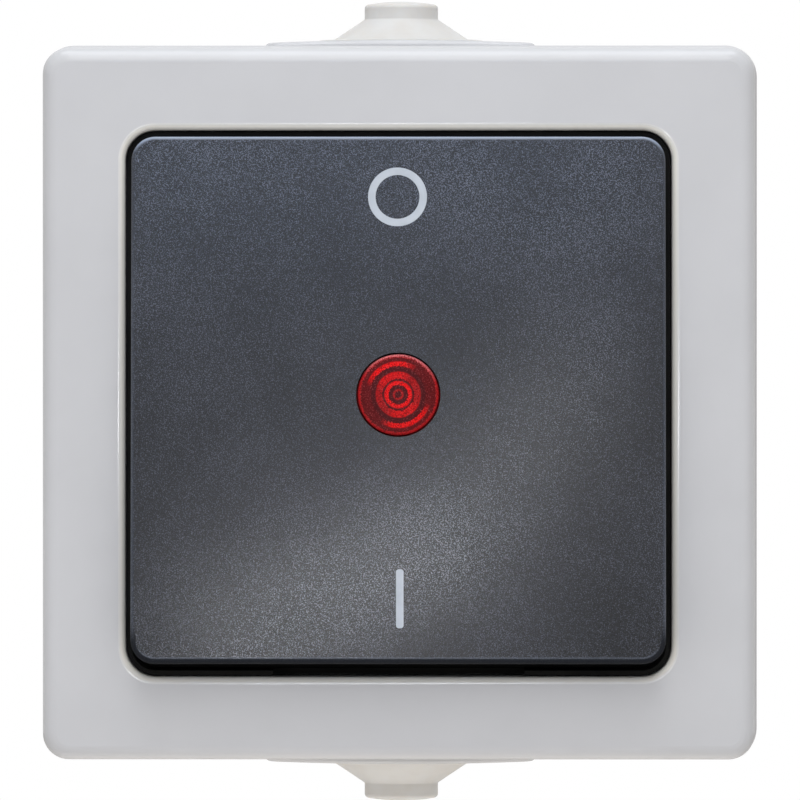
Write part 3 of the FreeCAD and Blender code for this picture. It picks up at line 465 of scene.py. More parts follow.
def grown(name, tree, inputs, place, points=(), edges=()):
    """Piece that a node tree grows from a few points, as a plain mesh put in its place."""
    seed = bpy.data.meshes.new(name)
    seed.from_pydata(points, edges, [])
    piece = bpy.data.objects.new(name, seed)
    bpy.context.scene.collection.objects.link(piece)
    maker = piece.modifiers.new("Maker", "NODES")
    maker.node_group = tree
    for item in tree.interface.items_tree:
        if item.in_out == "INPUT" and item.name in inputs:
            maker[item.identifier] = inputs[item.name]
    depsgraph = bpy.context.evaluated_depsgraph_get()
    made = bpy.data.meshes.new_from_object(piece.evaluated_get(depsgraph), depsgraph=depsgraph)
    if not made.polygons:
        raise RuntimeError(f"{name} came out empty")
    piece.modifiers.remove(maker)
    piece.data = made
    bpy.data.meshes.remove(seed)
    made.name = name
    made.transform(place)
    made.update()
    return piece


def lathe_tree():
    """Turns a profile, drawn as a line beside the axis, into a round piece."""
    tree, given = new_tree("lathe", ["Axis Gap"], {"Geometry": "Geometry", "Segments": "Int"})
    profile = result(tree, "GeometryNodeMeshToCurve", {"Mesh": given["Geometry"]})
    path = circle(tree, given["Segments"], given["Axis Gap"])
    return end_tree(tree, given, welded(tree, swept(tree, path, profile)), smooth=True)


def turned(name, profile, segments, material, place):
    """Round piece from a profile of (radius, height) points that starts and ends on its axis."""
    gap = 1.0 * MM
    points = [(radius - gap, -height, 0.0) for radius, height in profile]
    edges = [(k, k + 1) for k in range(len(points) - 1)]
    tree = bpy.data.node_groups.get("lathe") or lathe_tree()
    inputs = {"Axis Gap": gap, "Segments": segments, "Material": material}
    piece = grown(name, tree, inputs, place, points, edges)
    piece.data.set_sharp_from_angle(angle=CREASE)
    return piece


def arc(middle, radius, first, last, steps):
    """Points of an arc in a profile, by angles in degrees from the radius axis."""
    angles = [math.radians(first + (last - first) * k / steps) for k in range(steps + 1)]
    return [(middle[0] + radius * math.cos(a), middle[1] + radius * math.sin(a)) for a in angles]


def pale_finish(shell):
    """Pale plastic, glossy on front and pads, satin on its walls, with a painted highlight on the lip round
    the opening and a painted highlight line on its outside.
    """
    material, tree, shader = blank_finish("pale_plastic", {"Specular IOR Level": 0.35})
    body = cloud(tree, grain(tree, size=9.0 * MM, detail=3.0), shell.shade, shell.plastic)
    across, up, out = on_seat(tree, OUT_OF_WALL)
    half = shell.opening / 2.0
    away = past_outline(tree, across, up, half, half, shell.corner)
    front = rescale(tree, out, *FRONT_BAND)
    # Painted highlight on the rounded lip round the opening
    lip = number(tree, "MULTIPLY", rescale(tree, away, *LIT_LIP_BAND), front)
    # Painted highlight line just outside the lip
    line = number(tree, "MULTIPLY", rescale(tree, away, *HIGHLIGHT_LINE_START), rescale(tree, away, *HIGHLIGHT_LINE_END))
    painted_highlight = number(tree, "MULTIPLY", line, front)
    colour = mixed(tree, painted_highlight, mixed(tree, lip, body, shell.lip), shell.painted_highlight)
    tree.links.new(colour, shader.inputs["Base Color"])
    polish = rescale(tree, grain(tree, size=4.0 * MM, detail=3.0), *NOISE_SPAN, low=0.13, high=0.16)
    below_pads = rescale(tree, number(tree, "ABSOLUTE", up), *PAD_BAND)
    wall = number(tree, "MULTIPLY", rescale(tree, out, *SATIN_BAND), below_pads)
    satin = number(tree, "MULTIPLY_ADD", wall, 0.5, polish)
    tree.links.new(satin, shader.inputs["Roughness"])
    relief(tree, shader, grain(tree, size=0.35 * MM), depth=0.0002 * MM)
    return material


class SWITCH_OT_shell(bpy.types.Operator):
    """Give the cover, the base box and the black tray their moulded plastic"""

    bl_idname = "switch.shell"
    bl_label = "Shell Finish"

    def execute(self, context):
        shell = context.scene.switch_shell
        dress(pale_finish(shell), "cover_frame", "base_box")
        black = moulded(
            "black_plastic", display(26, 26, 25), shell.tray,
            gloss=(0.5, 0.62), patch=6.0 * MM, cell=0.2 * MM, depth=0.006 * MM, specular=0.1,
        )
        dress(black, "inner_frame")
        return {"FINISHED"}


def rocker_finish(rocker):
    """Eroded anthracite plastic, with painted highlights on its upper edge and above its lower edge, and
    painted shade on its lower edge and walls.
    """
    material, tree, shader = blank_finish("anthracite_plastic", {"Specular IOR Level": 0.26})
    speck = grain(tree, rocker.grain, detail=1.0)
    patch = grain(tree, size=12.0 * MM, detail=4.0)
    tone = number(tree, "MULTIPLY_ADD", patch, 0.2, speck)
    face = cloud(tree, tone, rocker.shade, rocker.plastic, start=0.59, end=0.77)
    across, up, out = on_seat(tree, FACE)
    away = past_outline(tree, across, up, rocker.half_width, rocker.half_height, rocker.corner)
    drop = number(tree, "SUBTRACT", rocker.half_height, up)
    climb = number(tree, "ADD", rocker.half_height, up)
    # Painted highlight along the upper edge, fading down the sides
    upper = rescale(tree, drop, *UPPER_HIGHLIGHT_PART, low=0.16)
    lower = rescale(tree, climb, *LOWER_SHADE_PART)
    bottom = rescale(tree, climb, *HIGHLIGHT_LINE_PART)
    above = number(tree, "MULTIPLY", rescale(tree, away, *UPPER_HIGHLIGHT_RIM), upper)
    # Painted highlight: a faint line just above the lower edge
    line = number(tree, "MULTIPLY", rescale(tree, away, *LOWER_HIGHLIGHT_LINE, high=0.14), bottom)
    # Painted shade on the lower edge and on the walls below the face
    under = number(tree, "MULTIPLY", rescale(tree, away, *LOWER_SHADE_RIM), lower)
    edge = number(tree, "MAXIMUM", above, line)
    wall = number(tree, "MAXIMUM", rescale(tree, out, *WALL_SHADE_BAND), under)
    colour = mixed(tree, wall, mixed(tree, edge, face, rocker.edge), rocker.wall)
    tree.links.new(colour, shader.inputs["Base Color"])
    polish = rescale(tree, speck, 0.4, 0.62, low=0.32, high=0.1)
    gloss = number(tree, "MULTIPLY_ADD", wall, 0.6, polish)
    tree.links.new(gloss, shader.inputs["Roughness"])
    relief(tree, shader, speck, rocker.depth)
    return material


class SWITCH_OT_rocker(bpy.types.Operator):
    """Give the rocker its eroded anthracite plastic"""

    bl_idname = "switch.rocker"
    bl_label = "Rocker Finish"

    def execute(self, context):
        dress(rocker_finish(context.scene.switch_rocker), "rocker")
        return {"FINISHED"}


def marks_tree():
    """Grows the ring and the bar as thin plates on the rocker's face."""
    tree, given = new_tree(
        "printed_marks",
        ["Outer Radius", "Inner Radius", "Stroke", "Bar", "Bar End", "Thickness"],
        {"Ring Place": "Vector", "Bar Place": "Vector"},
    )
    rings = joined(tree, [circle(tree, 96, given[f"{side} Radius"]) for side in ("Outer", "Inner")])
    bar = soft_oblong(tree, given["Stroke"], given["Bar"], given["Bar End"], count=6)
    placed = []
    for drawn, label in ((rings, "Ring Place"), (bar, "Bar Place")):
        sockets = {"Geometry": drawn, "Translation": given[label]}
        placed.append(result(tree, "GeometryNodeTransform", sockets))
    sheet = result(tree, "GeometryNodeFillCurve", {"Curve": joined(tree, placed)})
    lift = {"Mesh": sheet, "Offset Scale": given["Thickness"], "Individual": False}
    raised = result(tree, "GeometryNodeExtrudeMesh", lift)
    under = result(tree, "GeometryNodeFlipFaces", {"Mesh": sheet})
    return end_tree(tree, given, welded(tree, joined(tree, [raised, under])))


class SWITCH_OT_marks(bpy.types.Operator):
    """Print the ring and the bar on the rocker"""

    bl_idname = "switch.marks"
    bl_label = "Printed Marks"

    def execute(self, context):
        marks = context.scene.switch_marks
        ink = moulded(
            "white_ink", display(177, 184, 193), marks.ink,
            gloss=(0.4, 0.55), patch=1.2 * MM, cell=0.16 * MM, depth=0.008 * MM, specular=0.3,
        )
        sunk = marks.thickness / 2.0
        inputs = {
            "Outer Radius": marks.ring / 2.0,
            "Inner Radius": marks.ring / 2.0 - marks.stroke,
            "Stroke": marks.stroke,
            "Bar": marks.bar,
            "Bar End": marks.bar_end,
            "Ring Place": (-marks.ring_left, marks.ring_up, -sunk),
            "Bar Place": (marks.bar_right, -marks.bar_down, -sunk),
            "Thickness": marks.thickness + sunk,
            "Material": ink,
        }
        piece = grown("printed_marks", marks_tree(), inputs, FACE)
        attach(piece, "rocker")
        return {"FINISHED"}


def ringed(tree, share, rings, lens):
    """Colour over the share of the lens's radius, from rings given as (outer radius in mm, tone)."""
    ramp = add(tree, "ShaderNodeValToRGB", {"Fac": share})
    ramp.color_ramp.interpolation = "EASE"
    stops = ramp.color_ramp.elements
    blur = 0.05 * MM / lens.radius
    inner = 0.0
    ends = []
    for radius, tone in rings:
        outer = radius * MM / lens.radius
        ends += [(inner + blur, tone), (outer - blur, tone)]
        inner = outer
    for position, tone in ends[1:-1]:
        stops.new(position).color = getattr(lens, tone)
    stops[0].color = getattr(lens, rings[0][1])
    stops[-1].color = getattr(lens, rings[-1][1])
    return ramp.outputs["Color"]


def lens_finish(lens):
    """Clear red plastic over moulded rings, with painted light: a lit copy of the rings above and below,
    where light enters, a shaded copy at the sides, a painted highlight on the upper rim and painted glints.
    """
    material, tree, shader = blank_finish("ringed_red_lens", {"Specular IOR Level": 0.06})
    inner = ((0.32, "deep"), (0.5, "middle"), (0.9, "deep"), (1.26, "bright"), (1.46, "deep"))
    # Painted light: a lit copy of the rings and a shaded copy, which the angle mixes
    lit = inner + ((2.1, "warm"), (2.62, "deep"), (3.04, "bright"), (3.4, "dusk"), (3.7, "rim"))
    shaded = inner + ((2.06, "middle"), (2.5, "deep"), (3.44, "dusk"), (3.7, "rim"))
    across, up, _ = on_seat(tree, LENS_SEAT)
    angle = number(tree, "ARCTAN2", up, across)
    speck = grain(tree, size=0.12 * MM)
    off_mean = number(tree, "SUBTRACT", speck, 0.5)
    frayed = number(tree, "MULTIPLY_ADD", off_mean, lens.fray, reach(tree, across, up))
    share = number(tree, "DIVIDE", frayed, lens.radius)
    # Painted light: the lit copy shows above and below, the shaded copy at the sides
    wave = number(tree, "COSINE", number(tree, "MULTIPLY_ADD", angle, 2.0, math.radians(140.0)))
    lit_part = rescale(tree, wave, -0.3, 0.5)
    rings = mixed(tree, lit_part, ringed(tree, share, shaded, lens), ringed(tree, share, lit, lens))
    # Painted highlight on the upper part of the rim
    upper = number(tree, "COSINE", number(tree, "SUBTRACT", angle, math.radians(85.0)))
    pale = number(tree, "MULTIPLY", rescale(tree, upper, 0.4, 0.9), rescale(tree, share, 0.93, 0.965))
    highlighted_rings = mixed(tree, pale, rings, lens.painted_highlight)
    dull = mixed(tree, rescale(tree, speck, 0.5, 0.36, high=0.8), highlighted_rings, lens.deep)
    # Painted glints: pale flecks in the highlight colour, scattered by the grain
    glinted = mixed(tree, rescale(tree, speck, 0.56, 0.7, high=0.2), dull, lens.painted_highlight)
    tree.links.new(glinted, shader.inputs["Base Color"])
    patchy_gloss(tree, shader, grain(tree, size=0.5 * MM, detail=3.0), low=0.3, high=0.42)
    relief(tree, shader, grain(tree, size=0.14 * MM), depth=0.003 * MM)
    return material


class SWITCH_OT_lens(bpy.types.Operator):
    """Turn the red pilot lens with its rounded rim, flange and ringed light guide"""

    bl_idname = "switch.lens"
    bl_label = "Pilot Lens"

    def execute(self, context):
        lens = context.scene.switch_lens
        profile = self.front(lens) + self.light_guide(lens)
        piece = turned("pilot_lens", profile, lens.segments, lens_finish(lens), LENS_SEAT)
        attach(piece, "rocker")
        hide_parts("lens")
        return {"FINISHED"}

    def front(self, lens):
        """Profile of the dome and its rounded rim."""
        rim = 0.22 * MM
        steps = 24
        flat = lens.radius - rim
        ball = (lens.radius**2 + lens.dome**2) / (2.0 * lens.dome)
        radii = [flat * k / steps for k in range(steps + 1)]
        dome = [(r, math.sqrt(ball**2 - r**2) - ball + lens.dome) for r in radii]
        return dome + arc((flat, dome[-1][1] - rim), rim, 80.0, 0.0, 6)

    def light_guide(self, lens):
        """Profile of the flange behind the rocker and of the guide with its ring grooves."""
        flange_r = 4.6 * MM
        flange_front = -1.8 * MM
        flange_back = -2.7 * MM
        guide_r = 2.6 * MM
        guide_end = -4.3 * MM
        land_r = 2.4 * MM
        groove_half = 0.18 * MM
        groove_roof = -3.95 * MM
        guide = [
            (lens.radius, flange_front),
            (flange_r, flange_front),
            (flange_r, flange_back),
            (guide_r, flange_back),
            (guide_r, guide_end),
            (land_r, guide_end),
        ]
        for groove in (2.25 * MM, 1.5 * MM, 0.75 * MM):
            sides = (groove + groove_half, groove - groove_half)
            guide += [(sides[0], guide_end), (groove, groove_roof), (sides[1], guide_end)]
        return guide + [(0.0, guide_end)]


def entry_profile():
    """Profile of a soft entry, in metres from the outer face of its pad."""
    tip_r = 3.45 * MM
    tip_z = 3.58 * MM
    edge = 0.4 * MM
    dome = 0.35 * MM
    steps = 12
    flat = tip_r - edge
    radii = [flat * k / steps for k in range(steps + 1)]
    crown = [(r, tip_z + dome * (1.0 - (r / tip_r) ** 2)) for r in radii]
    shoulder = arc((flat, crown[-1][1] - edge), edge, 78.0, 0.0, 6)
    cone = ((3.45, 2.3), (3.51, 2.19), (4.9, 1.26), (6.28, 0.35), (6.48, 0.25), (7.66, 0.25), (7.8, 0.16))
    neck = ((7.8, 0.0), (6.1, 0.0), (6.1, -2.0))
    collar = ((7.7, -2.0), (7.8, -2.1), (7.8, -3.1), (7.7, -3.2), (5.3, -3.2))
    hollow = ((5.3, 0.0), (2.65, 1.4), (2.65, 2.7), (0.0, 2.78))
    rest = cone + neck + collar + hollow
    return crown + shoulder + [(radius * MM, height * MM) for radius, height in rest]


class SWITCH_OT_entries(bpy.types.Operator):
    """Turn the two soft cable entries in pale rubber"""

    bl_idname = "switch.entries"
    bl_label = "Cable Entries"

    def execute(self, context):
        entries = context.scene.switch_entries
        material, tree, shader = blank_finish(
            "entry_rubber",
            {
                "Subsurface Weight": 0.3,
                "Subsurface Scale": 1.0 * MM,
                "Subsurface Radius": (1.0, 0.85, 0.65),
                "Specular IOR Level": 0.35,
            },
        )
        tinted(tree, shader, grain(tree, size=3.0 * MM, detail=3.0), entries.shade, entries.rubber)
        patchy_gloss(tree, shader, grain(tree, size=1.2 * MM, detail=3.0), low=0.42, high=0.58)
        relief(tree, shader, grain(tree, size=0.3 * MM, detail=3.0), depth=0.004 * MM)
        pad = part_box("base_box")[1].z
        top = Matrix.Translation((0.0, ENTRY_Y, pad))
        bottom = Matrix.Translation((0.0, ENTRY_Y, -pad)) @ Matrix.Rotation(math.pi, 4, "X")
        for name, place in (("top", top), ("bottom", bottom)):
            piece = turned(f"{name}_entry", entry_profile(), entries.segments, material, place)
            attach(piece, "housing")
            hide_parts(f"{name}_grommet")
        return {"FINISHED"}


def seal_tree():
    """Sweeps a soft profile round a square path with rounded corners."""
    tree, given = new_tree("seal_ring", ["Side", "Corner", "Width", "Height", "Bead"])
    path = soft_oblong(tree, given["Side"], given["Side"], given["Corner"], count=10)
    section = soft_oblong(tree, given["Width"], given["Height"], given["Bead"], count=4)
    return end_tree(tree, given, swept(tree, path, section), smooth=True)


class SWITCH_OT_seals(bpy.types.Operator):
    """Sweep the cover gasket and the seal of the insert in soft rubber"""

    bl_idname = "switch.seals"
    bl_label = "Seals"

    def execute(self, context):
        rubber = moulded(
            "seal_rubber", display(46, 46, 48), display(58, 58, 60),
            gloss=(0.5, 0.7), patch=4.0 * MM, cell=0.25 * MM, depth=0.01 * MM, specular=0.3,
        )
        tree = seal_tree()
        for name, node, width, corner in (
            ("gasket_ring", "cover_gasket", 1.5 * MM, 2.4 * MM),
            ("insert_ring", "insert_seal", 2.0 * MM, 7.0 * MM),
        ):
            low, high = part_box(node)
            inputs = {
                "Side": high.x - low.x - width,
                "Corner": corner,
                "Width": width,
                "Height": high.y - low.y,
                "Bead": width / 4.0,
                "Material": rubber,
            }
            place = Matrix.Translation((0.0, (low.y + high.y) / 2.0, 0.0)) @ OUT_OF_WALL
            piece = grown(name, tree, inputs, place)
            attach(piece, "housing")
            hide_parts(node)
        return {"FINISHED"}


def wind(tree, given, steps, facets):
    """Helix of round wire from the tree's sizes, with this many steps a turn and facets round the wire."""
    sizes = {
        "Resolution": steps,
        "Rotations": given["Turns"],
        "Start Radius": given["Radius"],
        "End Radius": given["Radius"],
        "Height": given["Length"],
    }
    helix = result(tree, "GeometryNodeCurveSpiral", sizes)
    return swept(tree, helix, circle(tree, facets, given["Wire"]), caps=True)


def thread_tree():
    """Winds a thread ridge round the shank of each screw, from its end upwards."""
    sizes = ["Radius", "Turns", "Length", "Wire"]
    tree, given = new_tree("screw_thread", sizes, {"Geometry": "Geometry"})
    sockets = {
        "Points": given["Geometry"],
        "Instance": wind(tree, given, steps=20, facets=4),
        "Rotation": OUT_OF_WALL.to_euler(),
    }
    return end_tree(tree, given, result(tree, "GeometryNodeInstanceOnPoints", sockets))


def spring_tree():
    """Winds one smooth compression spring along its axis."""
    tree, given = new_tree("spring", ["Radius", "Turns", "Length", "Wire"])
    return end_tree(tree, given, wind(tree, given, steps=32, facets=10), smooth=True)


class SWITCH_OT_screws(bpy.types.Operator):
    """Give all screws and clamps their plated steel, and wind the threads of the long screws"""

    bl_idname = "switch.screws"
    bl_label = "Screws"

    def execute(self, context):
        screws = context.scene.switch_screws
        steel = metal(
            "plated_steel", display(168, 168, 162), display(205, 206, 202),
            gloss=(0.24, 0.4), cell=0.3 * MM, stretch=(1.0, 6.0, 1.0), depth=0.004 * MM,
        )
        dress(steel, "cover_screws", "insert_screws", "terminal_screws", "terminal_clamps")
        tree = thread_tree()
        cover_y = COVER_SCREW_END_Y - screws.lead
        insert_y = INSERT_SCREW_END_Y - screws.lead
        cover_starts = [(-BOSS, cover_y, BOSS), (BOSS, cover_y, -BOSS)]
        insert_starts = [(-LUG, insert_y, 0.0), (LUG, insert_y, 0.0)]
        for name, starts, length in (
            ("cover_screw_threads", cover_starts, screws.cover_thread),
            ("insert_screw_threads", insert_starts, screws.insert_thread),
        ):
            inputs = {
                "Radius": screws.radius,
                "Turns": length / screws.pitch,
                "Length": length,
                "Wire": screws.ridge,
                "Material": steel,
            }
            piece = grown(name, tree, inputs, Matrix.Identity(4), starts)
            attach(piece, "housing")
        return {"FINISHED"}


class SWITCH_OT_insert(bpy.types.Operator):
    """Give the bearing bridge, the socket and the toggle their moulded plastic"""

    bl_idname = "switch.insert"
    bl_label = "Insert Finish"

    def execute(self, context):
        body = moulded(
            "insert_plastic", display(205, 203, 194), display(217, 215, 207),
            gloss=(0.4, 0.55), patch=5.0 * MM, cell=0.25 * MM, depth=0.006 * MM,
        )
        dress(body, "bearing_bridge", "switch_socket")
        toggle = moulded(
            "toggle_plastic", display(222, 222, 217), display(232, 232, 228),
            gloss=(0.3, 0.42), patch=4.0 * MM, cell=0.3 * MM, depth=0.004 * MM,
        )
        dress(toggle, "toggle")
        return {"FINISHED"}


class SWITCH_OT_contacts(bpy.types.Operator):
    """Give the plungers and contacts their brass"""

    bl_idname = "switch.contacts"
    bl_label = "Contact Finish"

    def execute(self, context):
        brass = metal(
            "contact_brass", display(196, 160, 88), display(224, 192, 118),
            gloss=(0.24, 0.42), cell=0.4 * MM, stretch=(5.0, 1.0, 1.0), depth=0.004 * MM,
        )
        kinds = ("plunger", "contact_bridge", "contact_cradle", "fixed_contact")
        dress(brass, *[f"{side}_{kind}" for side in ("left", "right") for kind in kinds])
        return {"FINISHED"}


class SWITCH_OT_springs(bpy.types.Operator):
    """Wind the two springs behind the plungers"""

    bl_idname = "switch.springs"
    bl_label = "Plunger Springs"

    def execute(self, context):
        springs = context.scene.switch_springs
        steel = metal(
            "spring_steel", display(140, 140, 142), display(178, 178, 180),
            gloss=(0.2, 0.35), cell=0.2 * MM, stretch=(1.0, 1.0, 4.0), depth=0.003 * MM,
        )
        inputs = {
            "Radius": springs.coil,
            "Turns": springs.turns,
            "Length": SPRING_HIGH - SPRING_LOW,
            "Wire": springs.wire,
            "Material": steel,
        }
        tree = spring_tree()
        for side, across in (("left", -POLE), ("right", POLE)):
            place = AXLE @ Matrix.Translation((across, 0.0, SPRING_LOW))
            piece = grown(f"{side}_coil", tree, inputs, place)
            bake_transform(piece)
            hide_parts(f"{side}_spring")
        return {"FINISHED"}


class SWITCH_OT_lamp(bpy.types.Operator):
    """Turn the pilot lamp's bulb and electrodes, and finish its leads and resistor"""

    bl_idname = "switch.lamp"
    bl_label = "Pilot Lamp"

    def execute(self, context):
        low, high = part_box("pilot_lamp")
        place = Matrix.Translation((0.0, high.y, 0.0)) @ OUT_OF_WALL
        profile = self.bulb_profile((high.x - low.x) / 2.0, high.y - low.y)
        bulb = turned("lamp_bulb", profile, 64, self.glass(), place)
        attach(bulb, "housing")
        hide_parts("pilot_lamp")
        wire = metal(
            "tinned_wire", display(176, 176, 172), display(206, 206, 203),
            gloss=(0.22, 0.38), cell=0.2 * MM, stretch=(1.0, 4.0, 1.0), depth=0.003 * MM,
        )
        dress(wire, "lamp_leads")
        rod_r = 0.35 * MM
        rod_foot = 1.0 * MM
        rod_top = 7.4 * MM
        spread = 0.75 * MM
        rod = arc((0.0, rod_top), rod_r, 90.0, 0.0, 6) + [(rod_r, rod_foot), (0.0, rod_foot)]
        for side, offset in (("left", -spread), ("right", spread)):
            seat = place @ Matrix.Translation((offset, 0.0, 0.0))
            piece = turned(f"{side}_electrode", rod, 24, wire, seat)
            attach(piece, "housing")
        self.coat_resistor()
        return {"FINISHED"}

    def glass(self):
        """Clear glass with a faint unevenness."""
        material, tree, shader = blank_finish("lamp_glass", {"Transmission Weight": 0.92, "IOR": 1.5})
        patchy_gloss(tree, shader, grain(tree, size=1.5 * MM), low=0.02, high=0.08)
        tinted(tree, shader, grain(tree, size=2.0 * MM), display(232, 236, 234), display(248, 250, 248))
        return material

    def bulb_profile(self, outer, length):
        """Profile of the hollow bulb with its chamfered foot and the pinch inside it."""
        inner = outer - 0.35 * MM
        shoulder = length - outer
        chamfer_r = 0.4 * MM
        chamfer_z = 0.5 * MM
        pinch_r = 0.4 * MM
        pinch_z = 1.4 * MM
        floor_z = 1.8 * MM
        foot = [(outer, chamfer_z), (outer - chamfer_r, 0.0)]
        pinch = [(pinch_r, 0.0), (pinch_r, pinch_z), (inner, floor_z)]
        outside = arc((0.0, shoulder), outer, 90.0, 0.0, 14)
        return outside + foot + pinch + arc((0.0, shoulder), inner, 0.0, 90.0, 14)

    def coat_resistor(self):
        """Lacquer with plain bands across the resistor."""
        coat = {"Coat Weight": 0.3, "Coat Roughness": 0.2}
        material, tree, shader = blank_finish("resistor_lacquer", coat)
        low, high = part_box("lamp_resistor")
        place = add(tree, "ShaderNodeTexCoord").outputs["Object"]
        axes = add(tree, "ShaderNodeSeparateXYZ", {"Vector": place})
        along = rescale(tree, axes.outputs["Z"], low.z, high.z)
        bands = add(tree, "ShaderNodeValToRGB", {"Fac": along})
        bands.color_ramp.interpolation = "CONSTANT"
        stops = bands.color_ramp.elements
        body = display(196, 172, 128)
        stops[0].color = body
        for start, end, colour in (
            (0.2, 0.3, display(96, 56, 34)),
            (0.4, 0.5, display(190, 66, 40)),
            (0.6, 0.7, display(214, 178, 50)),
            (0.82, 0.9, display(178, 142, 70)),
        ):
            stops.new(start).color = colour
            stops.new(end).color = body
        stops[-1].color = body
        tree.links.new(bands.outputs["Color"], shader.inputs["Base Color"])
        patchy_gloss(tree, shader, grain(tree, size=0.6 * MM, detail=3.0), low=0.35, high=0.5)
        dress(material, "lamp_resistor")


def softbox(name, power, size, place, target, colour):
    """Rectangular lamp that looks at a target and isn't seen itself."""
    data = bpy.data.lights.new(name, "AREA")
    data.shape = "RECTANGLE"
    data.energy = power
    data.size, data.size_y = size
    data.color = colour
    lamp = bpy.data.objects.new(name, data)
    lamp.location = place
    lamp.rotation_euler = (Vector(target) - Vector(place)).to_track_quat("-Z", "Y").to_euler()
    lamp.visible_camera = False
    bpy.context.scene.collection.objects.link(lamp)
    return lamp


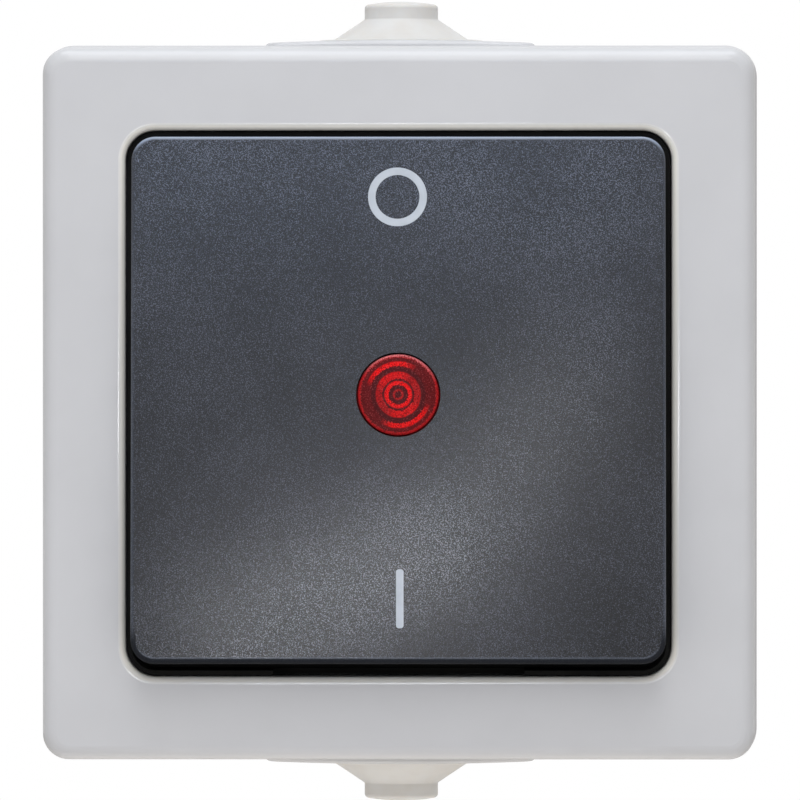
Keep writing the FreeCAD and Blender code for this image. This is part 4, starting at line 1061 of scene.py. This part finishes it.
class SWITCH_OT_stage(bpy.types.Operator):
    """Lay the floor, hang the lamps, set the white world and place the camera"""

    bl_idname = "switch.stage"
    bl_label = "Studio"

    def execute(self, context):
        stage = context.scene.switch_stage
        context.scene.view_settings.view_transform = "Standard"
        self.lay_floor(stage)
        self.set_world(context.scene, stage)
        self.place_camera(context.scene, stage)
        self.hang_lamps(context.scene.camera.location, stage)
        return {"FINISHED"}

    def hang_lamps(self, eye, stage):
        """Panels above, in front and below, and strips that the rocker mirrors."""
        softbox("key_panel", stage.key, *KEY_PANEL)
        softbox("top_panel", stage.top, *TOP_PANEL)
        softbox("low_card", stage.low, *LOW_CARD)
        self.mirrored("left_sheen", stage.left_sheen, eye, *LEFT_SHEEN)
        self.mirrored("right_sheen", stage.right_sheen, eye, *RIGHT_SHEEN)
        self.mirrored("sky_panel", stage.sky, eye, *SKY_PANEL)

    def mirrored(self, name, power, eye, point, gap, size, turn, colour):
        """Lamp that the camera sees mirrored in a point of the rocker's face."""
        spot = FACE @ Vector(point)
        out = FACE.to_3x3() @ Vector((0.0, 0.0, 1.0))
        place = spot + gap * (spot - eye).normalized().reflect(out)
        lamp = softbox(name, power, size, place, spot, colour)
        lamp.rotation_euler.rotate_axis("Z", math.radians(turn))

    def lay_floor(self, stage):
        """Floor below the object that ends before the camera's view reaches it."""
        near, far = -stage.floor_front, stage.floor_back
        level = cad_low.z - stage.floor_drop
        mesh = bpy.data.meshes.new("floor")
        corners = [(near, near, level), (-near, near, level), (-near, far, level), (near, far, level)]
        mesh.from_pydata(corners, [], [(0, 1, 2, 3)])
        floor = bpy.data.objects.new("floor", mesh)
        bpy.context.scene.collection.objects.link(floor)
        paper = moulded(
            "floor_paper", display(218, 214, 209), stage.floor,
            gloss=(0.8, 0.9), patch=0.2, cell=1.0 * MM, depth=0.01 * MM, specular=0.1,
        )
        self.lift_to_white(paper.node_tree, stage.floor_glow)
        mesh.materials.append(paper)

    def lift_to_white(self, tree, strength):
        """Glow that only the camera sees, so that the lit floor is white, and a clear underside."""
        path = add(tree, "ShaderNodeLightPath").outputs
        share = number(tree, "MULTIPLY", path["Is Camera Ray"], strength)
        glow = result(tree, "ShaderNodeEmission", {"Color": WHITE, "Strength": share})
        paper = tree.nodes["Principled BSDF"].outputs["BSDF"]
        lit = result(tree, "ShaderNodeAddShader", {0: paper, 1: glow})
        below = add(tree, "ShaderNodeNewGeometry").outputs["Backfacing"]
        clear = result(tree, "ShaderNodeBsdfTransparent")
        choice = result(tree, "ShaderNodeMixShader", {"Fac": below, 1: lit, 2: clear})
        tree.links.new(choice, tree.nodes["Material Output"].inputs["Surface"])

    def set_world(self, scene, stage):
        """White to the camera, to gloss and through glass, and a softer light on everything else."""
        world = bpy.data.worlds.new("studio")
        world.use_nodes = True
        scene.world = world
        tree = world.node_tree
        tree.nodes.clear()
        path = add(tree, "ShaderNodeLightPath").outputs
        seen = number(tree, "MAXIMUM", path["Is Camera Ray"], path["Is Glossy Ray"])
        shown = number(tree, "MAXIMUM", seen, path["Is Transmission Ray"])
        soft = result(tree, "ShaderNodeBackground", {"Color": WHITE, "Strength": stage.ambience})
        white = result(tree, "ShaderNodeBackground", {"Color": WHITE, "Strength": 1.0})
        mix = result(tree, "ShaderNodeMixShader", {"Fac": shown, 1: soft, 2: white})
        add(tree, "ShaderNodeOutputWorld", {"Surface": mix})

    def place_camera(self, scene, stage):
        """Camera a little right of and above the middle, looking at the cover's face."""
        data = bpy.data.cameras.new("camera")
        data.lens = stage.focal
        data.sensor_width = 36.0
        data.clip_start = 0.05
        data.clip_end = 20.0
        camera = bpy.data.objects.new("camera", data)
        cover_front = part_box("cover_frame")[0].y
        camera.location = (stage.camera_right, cover_front - stage.camera_gap, stage.camera_up)
        target = Vector((stage.aim_right, cover_front, stage.aim_up))
        camera.rotation_euler = (target - camera.location).to_track_quat("-Z", "Y").to_euler()
        scene.collection.objects.link(camera)
        scene.camera = camera


class SWITCH_PT_panel(bpy.types.Panel):
    """Steps that dress the switch, in order, with their settings"""

    bl_idname = "SWITCH_PT_panel"
    bl_label = "Rocker Switch"
    bl_space_type = "VIEW_3D"
    bl_region_type = "UI"
    bl_category = "Switch"

    def draw(self, context):
        layout = self.layout
        for step in STEPS:
            layout.operator(step.bl_idname)
        for name, group in SETTINGS.items():
            box = layout.box()
            settings = getattr(context.scene, name)
            for label in group.__annotations__:
                box.prop(settings, label)


SETTINGS = {
    "switch_shell": ShellSettings,
    "switch_rocker": RockerSettings,
    "switch_marks": MarkSettings,
    "switch_lens": LensSettings,
    "switch_entries": EntrySettings,
    "switch_screws": ScrewSettings,
    "switch_springs": SpringSettings,
    "switch_stage": StageSettings,
}
STEPS = (
    SWITCH_OT_shell,
    SWITCH_OT_rocker,
    SWITCH_OT_marks,
    SWITCH_OT_lens,
    SWITCH_OT_entries,
    SWITCH_OT_seals,
    SWITCH_OT_screws,
    SWITCH_OT_insert,
    SWITCH_OT_contacts,
    SWITCH_OT_springs,
    SWITCH_OT_lamp,
    SWITCH_OT_stage,
)


def register():
    for group in (*SETTINGS.values(), *STEPS, SWITCH_PT_panel):
        bpy.utils.register_class(group)
    for name, group in SETTINGS.items():
        setattr(bpy.types.Scene, name, PointerProperty(type=group))


def unregister():
    for name in SETTINGS:
        delattr(bpy.types.Scene, name)
    for group in (SWITCH_PT_panel, *reversed(STEPS), *reversed(SETTINGS.values())):
        bpy.utils.unregister_class(group)


def main():
    register()
    bpy.ops.switch.shell()
    bpy.ops.switch.rocker()
    bpy.ops.switch.marks()
    bpy.ops.switch.lens()
    bpy.ops.switch.entries()
    bpy.ops.switch.seals()
    bpy.ops.switch.screws()
    bpy.ops.switch.insert()
    bpy.ops.switch.contacts()
    bpy.ops.switch.springs()
    bpy.ops.switch.lamp()
    bpy.ops.switch.stage()


if __name__ == "__main__":
    main()
